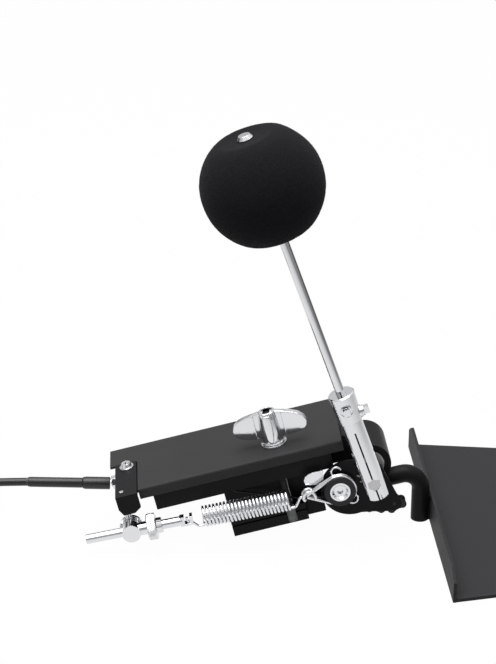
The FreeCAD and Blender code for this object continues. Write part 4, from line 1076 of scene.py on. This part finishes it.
@dataclass
class WingBolt:
    """The cast wing bolt: two panelled wings, a socketed hub with a smooth tongue, and its thread."""

    thickness: float = 6.8 * MM
    hub_radius: float = 7.6 * MM
    hub_foot: float = 9.3 * MM
    hub_height: float = 30.6 * MM
    socket_radius: float = 5.4 * MM
    socket_depth: float = 3.4 * MM
    yaw: float = math.radians(-9.0)
    seat: float = 2.0 * MM
    thread_radius: float = 3.0 * MM
    thread_end: float = 76.0 * MM
    tongue_width: float = 7.2 * MM
    tongue_length: float = 25.0 * MM
    tongue_depth: float = 3.0 * MM
    tongue_seat: tuple[float, float, float] = (0.0, -10.6 * MM, 3.6 * MM)
    tongue_lean: float = math.radians(-5.0)
    span: float = 32.0 * MM
    thinning: float = 0.28
    panel: Outline = (
        (12.2, 6.6), (12.9, 5.4), (18.0, 5.8), (26.0, 7.6), (29.8, 9.4), (32.0, 12.4), (32.5, 16.6),
        (30.6, 21.2), (26.4, 24.9), (20.0, 27.2), (13.0, 28.6), (12.2, 27.4),
    )
    web: Outline = (
        (3.0, 3.6), (9.0, 4.0), (15.0, 6.2), (22.0, 8.4), (24.0, 16.0), (22.0, 25.6), (14.0, 28.8),
        (9.0, 30.0), (3.0, 30.4),
    )

    def slab(
        self, mesh: bmesh.types.BMesh, outline: Outline, side: int, levels: Sequence[tuple[float, float]]
    ) -> None:
        """Adds one bevelled slab of a wing.

        Args:
            mesh: The mesh to add to.
            outline: The slab's corners in millimetres, out from the axis and up.
            side: -1 or 1.
            levels: Pairs of a scale about the slab's middle and a share of the wing's thickness.
        """
        points = [Vector((side * x * MM, 0.0, z * MM)) for x, z in outline]
        middle = sum(points, Vector()) / len(points)
        rings = []
        for face in (-1, 1):
            for inset, share in levels if face > 0 else list(reversed(levels)):
                spots = [middle + (point - middle) * inset for point in points]
                rings.append([
                    Vector((
                        spot.x,
                        face * self.thickness * share * (1.0 - self.thinning * abs(spot.x) / self.span),
                        spot.z,
                    ))
                    for spot in spots
                ])
        skin(mesh, rings)

    def hub(self) -> bmesh.types.BMesh:
        """Returns the hub with its socket."""
        rim, foot, top = self.hub_radius, self.hub_foot, self.hub_height
        floor = top - self.socket_depth
        return turned([
            (0.0, 0.0), (foot + 0.0006, 0.0), (foot + 0.0010, 0.0005), (foot + 0.0010, 0.0015),
            (foot + 0.0004, 0.0022), (foot, 0.0032), (foot, 0.0060), (foot - 0.0001, 0.0120),
            (foot - 0.0006, 0.0180), (rim + 0.0005, 0.0240), (rim, top - 0.0016),
            (rim - 0.0005, top - 0.0004), (rim - 0.0012, top), (self.socket_radius, top),
            (self.socket_radius - 0.0002, top - 0.0006), (self.socket_radius - 0.0002, floor),
            (0.0, floor),
        ], 64)

    def tongue(self) -> bmesh.types.BMesh:
        """Returns the smooth tongue on the hub's face, drawn in and rounded at its lower end."""
        half, long, deep = self.tongue_width / 2, self.tongue_length, self.tongue_depth
        rows = [(0.0, 0.28), (0.03, 0.46), (0.09, 0.64), (0.20, 0.80), (0.40, 0.93), (0.65, 1.0),
                (0.93, 1.0), (0.98, 0.93), (1.0, 0.80)]
        section = (
            (-1.0, 0.9), (-1.0, -0.3), (-0.86, -0.62), (-0.4, -0.86), (0.0, -0.92), (0.4, -0.86),
            (0.86, -0.62), (1.0, -0.3), (1.0, 0.9),
        )
        return skin(bmesh.new(), [
            [Vector((x * half * wide, y * deep / 2 * (0.5 + wide / 2), share * long)) for x, y in section]
            for share, wide in rows
        ])

    def build(self, frames: Frames) -> None:
        """Makes the wing bolt.

        Args:
            frames: The unit's frames.
        """
        stand = frames.unit.matrix()
        stand.translation = frames.point("wing_bolt_turn")
        stand = stand @ Matrix.Translation((0.0, 0.0, self.seat)) @ Matrix.Rotation(self.yaw, 4, "Z")
        mesh = bmesh.new()
        for side in (-1, 1):
            self.slab(mesh, self.web, side, [(1.0, 0.20), (0.97, 0.33), (0.92, 0.36)])
            self.slab(mesh, self.panel, side, [(1.0, 0.28), (1.0, 0.42), (0.975, 0.48), (0.93, 0.50)])
        join(mesh, self.hub())
        for half_turn in (0.0, math.pi):
            place = Matrix.Rotation(half_turn, 4, "Z") @ Matrix.Translation(self.tongue_seat)
            join(mesh, self.tongue(), place @ Matrix.Rotation(self.tongue_lean, 4, "X"))
        join(mesh, threaded(self.thread_radius, -self.thread_end, -0.5 * MM, 1.25 * MM, 0.4 * MM))
        Piece("wing_bolt_cast", "wing_bolt", Finish.CAST_CHROME, ("wing_bolt",)).settle(mesh, stand, 28)
        # The socket's lining is painted shade: a thin black-steel sheet over the socket's walls and floor
        # darkens the chrome hole where it falls into shade; the boss on its floor stands for the bolt end
        # seen inside.
        floor, lip = self.hub_height - self.socket_depth, self.hub_height - 0.0009
        inner, outer = self.socket_radius - 0.0004, self.socket_radius - 0.00025
        painted_shade_lining = turned([
            (0.0, floor + 0.0012), (0.0024, floor + 0.0012), (0.0027, floor + 0.0008),
            (0.0027, floor + 0.0002), (inner, floor + 0.0002), (inner, lip), (outer, lip), (outer, floor),
            (0.0, floor),
        ], 48)
        Piece("wing_bolt_socket_painted_shade", "wing_bolt", Finish.BLACK_STEEL).settle(painted_shade_lining, stand)


@dataclass
class LevellingScrew:
    """The levelling screw with its thread and its rubber tip."""

    at: tuple[float, float] = (-75.5 * MM, -31.8 * MM)
    radius: float = 2.9 * MM
    top: float = 36.0 * MM
    tip_top: float = -17.5 * MM
    tip_bottom: float = -33.0 * MM
    tip_radius: float = 4.0 * MM

    def build(self, place: Place) -> None:
        """Makes the screw and the tip.

        Args:
            place: The unit's frame.
        """
        stand = place.shifted(*self.at, 0.0).matrix()
        thread = threaded(self.radius, self.tip_top + 0.0003, self.top - 0.0004, 0.001, 0.00035)
        screw = Piece("levelling_thread", "levelling_screw", Finish.BLACK_STEEL, ("levelling_screw",))
        screw.settle(thread, stand)
        r, low, high = self.tip_radius, self.tip_bottom, self.tip_top
        outline = [
            (0.0, low + 0.0005), (r * 0.45, low + 0.0001), (r * 0.74, low), (r * 0.90, low + 0.0005),
            (r, low + 0.0016), (r, low + 0.0050), (r * 0.96, low + 0.0054), (r * 0.96, low + 0.0060),
            (r, low + 0.0064), (r, high - 0.0012), (r * 0.93, high - 0.0003), (r * 0.80, high),
            (0.0, high),
        ]
        tip = Piece("levelling_rubber", "levelling_screw", Finish.GREY_RUBBER, ("levelling_tip",))
        tip.settle(turned(outline, 40), stand)


@dataclass
class Bail:
    """The doubled wire that joins the spring to the ring, with its hook loop and the ring's eyelets."""

    grip: float = 151.5 * MM
    ring: float = 13.5 * MM
    wire: float = 1.38 * MM
    spacing: float = 2.7 * MM
    hook: float = 5.2 * MM
    eyelet: float = 4.4 * MM
    eyelet_wire: float = 0.62
    leaf_back: float = 4.2 * MM
    leaf_sheet: float = 1.0 * MM
    leaf_edge: Outline = (
        (153.6, 8.2), (152.9, 12.4), (154.6, 16.0), (158.4, 18.2), (164.2, 19.0), (170.4, 18.8),
        (170.3, 14.1), (168.9, 8.0), (163.7, 6.6),
    )

    def leaf(self) -> bmesh.types.BMesh:
        """Returns the small plate behind the upper strand."""
        return skin(bmesh.new(), [
            [Vector((x * MM, depth, z * MM)) for x, z in self.leaf_edge]
            for depth in (self.leaf_back, self.leaf_back + self.leaf_sheet)
        ])

    @staticmethod
    def rod(points: Sequence[Vector], radius: float, around: int = 12) -> bmesh.types.BMesh:
        """Sweeps a round wire along points.

        Args:
            points: The wire's middle line.
            radius: Its radius.
            around: Points in a section.

        Returns:
            The mesh.
        """
        rings = []
        lean = (points[1] - points[0]).orthogonal().normalized()
        for step, point in enumerate(points):
            before, after = points[max(0, step - 1)], points[min(len(points) - 1, step + 1)]
            way = (after - before).normalized()
            lean = (lean - way * lean.dot(way)).normalized()
            side = way.cross(lean)
            rings.append([
                point + (lean * math.cos(a) + side * math.sin(a)) * radius
                for a in (FULL_TURN * turn / around for turn in range(around))
            ])
        return skin(bmesh.new(), rings)

    def strand(self, centre: Vector, side: float) -> list[Vector]:
        """Returns one strand's middle line round the ring.

        Args:
            centre: The ring's middle.
            side: The strand's place across the ring.
        """
        tip = Vector((self.grip, side * 0.5, 0.0))
        reach = centre.x - self.grip
        touch = math.acos(self.ring / reach)
        arc = []
        steps = 40
        for step in range(steps + 1):
            angle = math.pi - touch - (FULL_TURN - 2 * touch) * step / steps
            arc.append(centre + Vector((math.cos(angle), 0.0, math.sin(angle))) * self.ring)
            arc[-1].y = side
        start = [tip.lerp(arc[0], share) for share in (0.06, 0.3, 0.6)]
        end = [arc[-1].lerp(Vector((tip.x, tip.y, 0.0)), share) for share in (0.4, 0.7, 0.94)]
        return [*start, *arc, *end]

    @staticmethod
    def hoop(centre: Vector, radius: float, start: float, turn: float, lean: float) -> list[Vector]:
        """Returns an arc in the spring's plane.

        Args:
            centre: Its middle.
            radius: Its radius.
            start: Its first angle in degrees.
            turn: How many degrees it runs.
            lean: How far it runs across the plane.
        """
        points = []
        for step in range(25):
            angle = math.radians(start + turn * step / 24)
            points.append(centre + Vector((
                radius * math.cos(angle), lean * step / 24, radius * math.sin(angle)
            )))
        return points

    def build(self, frames: Frames) -> None:
        """Makes the bail.

        Args:
            frames: The unit's frames.
        """
        stand = frames.spring.matrix()
        centre = stand.inverted() @ frames.point("spring_bail_turn")
        mesh = bmesh.new()
        for side in (-1, 1):
            join(mesh, self.rod(self.strand(centre, side * self.spacing / 2), self.wire))
        for spot, start, turn, lean in (
            ((3.6, -1.2, -0.6), 215.0, -250.0, -2.2 * MM),
            ((3.0, 1.8, -0.2), 200.0, -230.0, 1.6 * MM),
        ):
            middle = Vector((self.grip, 0.0, 0.0)) + Vector(spot) * MM
            join(mesh, self.rod(self.hoop(middle, self.hook, start, turn, lean), self.wire))
        for angle, start in ((90.0, 20.0), (-52.0, 220.0)):
            a = math.radians(angle)
            spot = centre + Vector((math.cos(a), 0.0, math.sin(a))) * (self.ring + self.eyelet * 0.55)
            spot.y = 2.6 * MM
            loop = self.hoop(spot, self.eyelet, start, 300.0, 1.2 * MM)
            join(mesh, self.rod(loop, self.wire * self.eyelet_wire))
        Piece("spring_bail_wire", "spring_bail", Finish.CHROME, ("spring_bail",)).settle(mesh, stand, 60)
        Piece("spring_bail_leaf", "spring_bail", Finish.CHROME).settle(self.leaf(), stand)


@dataclass
class ReceiverEnd:
    """The receiver's high end beside the ring: the riser's web and the jaw's nose."""

    boxes: tuple[tuple[tuple[float, float, float], tuple[float, float, float]], ...] = (
        ((-62.4, -14.2, -19.8), (-45.0, -9.0, 27.5)),
        ((-62.4, -21.2, -37.3), (-46.0, -14.6, -21.2)),
        ((-62.4, -14.6, -21.4), (-47.0, -13.0, -19.6)),
    )
    round: float = 0.5 * MM

    def build(self, place: Place) -> None:
        """Makes the end.

        Args:
            place: The unit's frame.
        """
        mesh = bmesh.new()
        for low, high in self.boxes:
            a, b = Vector(low) * MM, Vector(high) * MM
            join(mesh, box(b - a, (a + b) / 2, self.round, 2))
        Piece("receiver_end", "frame", Finish.SATIN_BLACK).settle(mesh, place.matrix())


@dataclass
class Rocker:
    """The rocker's painted index marks."""

    plate_face: float = -45.6 * MM
    marks: tuple[tuple[float, float, float], ...] = (
        (-11.2, 2.4, 38.0), (-9.8, -3.6, 20.0), (-7.4, -8.8, -4.0),
    )
    mark_length: float = 3.4 * MM
    mark_width: float = 1.0 * MM
    paint: float = 0.12 * MM
    paint_stand: float = 0.05 * MM

    def build(self, place: Place) -> None:
        """Makes the marks.

        Args:
            place: The unit's frame.
        """
        mesh = bmesh.new()
        for x, z, slope in self.marks:
            bar = box((self.mark_length, self.paint, self.mark_width), BLACK, self.paint / 4, 1)
            spot = Matrix.Translation((x * MM, self.plate_face - self.paint_stand, z * MM))
            join(mesh, bar, spot @ Matrix.Rotation(math.radians(slope), 4, "Y"))
        Piece("rocker_index_marks", "beater", Finish.MARK).settle(mesh, place.matrix())


@dataclass
class Studio:
    """The pale floor, the soft lamps, the white surround and the camera."""

    eye: tuple[float, float, float] = (-0.32139, -1.51178, 0.87626)
    yaw: float = math.radians(3.42)
    pitch: float = math.radians(24.47)
    lens: float = 106.86
    floor_size: float = 8.0
    fill: float = 0.08
    floor_glow: float = 1.05
    floor_gap: float = 0.2 * MM
    aim: tuple[float, float, float] = (-0.2, 0.0, 0.1)
    lamp_aim: tuple[float, float, float] = (-0.25, 0.0, 0.1)

    def camera(self) -> None:
        """Sets the camera."""
        data = bpy.data.cameras.new("camera")
        data.lens = self.lens
        data.sensor_width = 36.0
        data.clip_start = 0.05
        data.clip_end = 50.0
        view = show("camera", data)
        view.location = self.eye
        view.rotation_euler = (math.pi / 2 - self.pitch, 0.0, -self.yaw)
        bpy.context.scene.camera = view

    @staticmethod
    def seen_rays(shader: Shader) -> Value:
        """Returns 1 for rays that see the surround directly, in a mirror or through glass.

        Args:
            shader: The material or world that asks.
        """
        path = shader.node("ShaderNodeLightPath")
        camera = Value(shader, path.outputs["Is Camera Ray"])
        glossy = Value(shader, path.outputs["Is Glossy Ray"])
        clear = Value(shader, path.outputs["Is Transmission Ray"])
        return (camera + glossy + clear).above(0.0, 1.0)

    @staticmethod
    def plain_view(shader: Shader) -> Value:
        """Returns 1 for camera rays."""
        return Value(shader, shader.node("ShaderNodeLightPath").outputs["Is Camera Ray"])

    def floor(self) -> None:
        """Makes the floor: white to the camera, and dimmer with distance in the polished metal."""
        floor = show("studio_floor", sheet("studio_floor", self.floor_size))
        floor.location = (0.0, 0.0, -self.floor_gap)
        shader = Shader("pale_floor")
        matt = shader.node(
            "ShaderNodeBsdfPrincipled", {}, {"Base Color": (0.30, 0.30, 0.30, 1.0), "Roughness": 0.9}
        )
        away = shader.node(
            "ShaderNodeVectorMath", {"operation": "DISTANCE"}, {0: shader.place(), 1: (-0.2, 0.0, 0.0)}
        )
        near = Value(shader, away.outputs["Value"]).above(1.5, 0.30)
        lit = near * 0.78 + 0.20
        seen = self.plain_view(shader)
        share = seen + (1.0 - seen) * lit * (1.0 / self.floor_glow)
        glow = shader.glow(shader.blend(share, BLACK, (self.floor_glow,) * 3))
        both = shader.node(
            "ShaderNodeMixShader",
            {},
            {0: self.seen_rays(shader) * 0.93, 1: matt.outputs[0], 2: glow.outputs[0]},
        )
        floor.data.materials.append(shader.finish(both))

    def surround(self) -> None:
        """Sets the world: white where it is seen, brighter above in mirrors, a faint fill elsewhere."""
        world = bpy.data.worlds.new("white_surround")
        shader = Shader.of_world(world)
        split = shader.node("ShaderNodeSeparateXYZ", {}, {0: shader.place("Generated")})
        height = Value(shader, split.outputs["Z"])
        mirror = height.above(-0.05, 0.75) * 0.75 + 0.25
        seen = self.plain_view(shader)
        bright = self.seen_rays(shader) * (seen + (1.0 - seen) * mirror - self.fill) + self.fill
        shade = shader.blend(bright, BLACK, WHITE)
        back = shader.node("ShaderNodeBackground", {}, {"Color": shade, "Strength": 1.0})
        shader.node("ShaderNodeOutputWorld", {}, {"Surface": back.outputs[0]})
        bpy.context.scene.world = world

    def lamp(self, name: str, place: Sequence[float], size: float, power: float) -> None:
        """Makes a soft square lamp that faces the unit.

        Args:
            name: The lamp's name.
            place: Where it stands.
            size: Its side.
            power: Its watts.
        """
        data = bpy.data.lights.new(name, "AREA")
        data.size = size
        data.energy = power
        lamp = show(name, data)
        lamp.location = place
        lamp.rotation_euler = (Vector(self.lamp_aim) - Vector(place)).to_track_quat("-Z", "Y").to_euler()

    def card(self, name: str, place: Sequence[float], width: float, height: float, grey: float) -> None:
        """Hangs a card out of the picture that only the polished metal reflects.

        Args:
            name: The card's name.
            place: Its middle.
            width: Its width.
            height: Its height.
            grey: How bright it looks, from 0 to 1.
        """
        card = show(name, sheet(name, 1.0))
        facing = Vector(self.aim) - Vector(place)
        card.matrix_world = (
            Matrix.Translation(place)
            @ facing.to_track_quat("Z", "Y").to_matrix().to_4x4()
            @ Matrix.Diagonal((width, height, 1.0, 1.0))
        )
        shader = Shader(name)
        surface = shader.glow((grey, grey, grey * 1.02, 1.0))
        card.data.materials.append(shader.finish(surface))
        card.visible_camera = False
        card.visible_diffuse = False
        card.visible_shadow = False

    def cards(self) -> None:
        """Hangs the cards: near black at the sides and behind the camera, grey on the right."""
        for name, place, width, height, grey in (
            ("studio_card_left", (-1.75, 0.55, 0.20), 0.55, 1.5, 0.01),
            ("studio_card_right", (1.45, 0.55, 0.20), 0.55, 1.5, 0.01),
            ("studio_card_grey", (1.20, -0.95, 0.30), 0.60, 1.4, 0.34),
            ("studio_card_front", (-0.45, -1.90, 0.95), 2.4, 0.42, 0.02),
        ):
            self.card(name, place, width, height, grey)

    def build(self) -> None:
        """Sets up the whole studio."""
        bpy.context.scene.view_settings.view_transform = "Standard"
        self.camera()
        self.floor()
        self.surround()
        self.cards()
        self.lamp("key_lamp", (-0.5, -0.1, 2.1), 2.0, 52.0)
        self.lamp("front_lamp", (-1.2, -1.8, 1.2), 1.2, 1.6)


def main() -> None:
    """Builds every sub-assembly in order."""
    logging.basicConfig(level=logging.INFO, format="%(name)s: %(message)s")
    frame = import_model()
    frames = Frames(frame["joints"])
    nodes = frame["nodes"]
    Studio().build()
    Cable().build(nodes)
    CadDress().build(nodes)
    BeaterHead().build(frames.beater)
    ThumbNut().build(frames.spring)
    WingBolt().build(frames)
    LevellingScrew().build(frames.unit)
    Bail().build(frames)
    Rocker().build(frames.unit)
    ReceiverEnd().build(frames.unit)


if __name__ == "__main__":
    main()
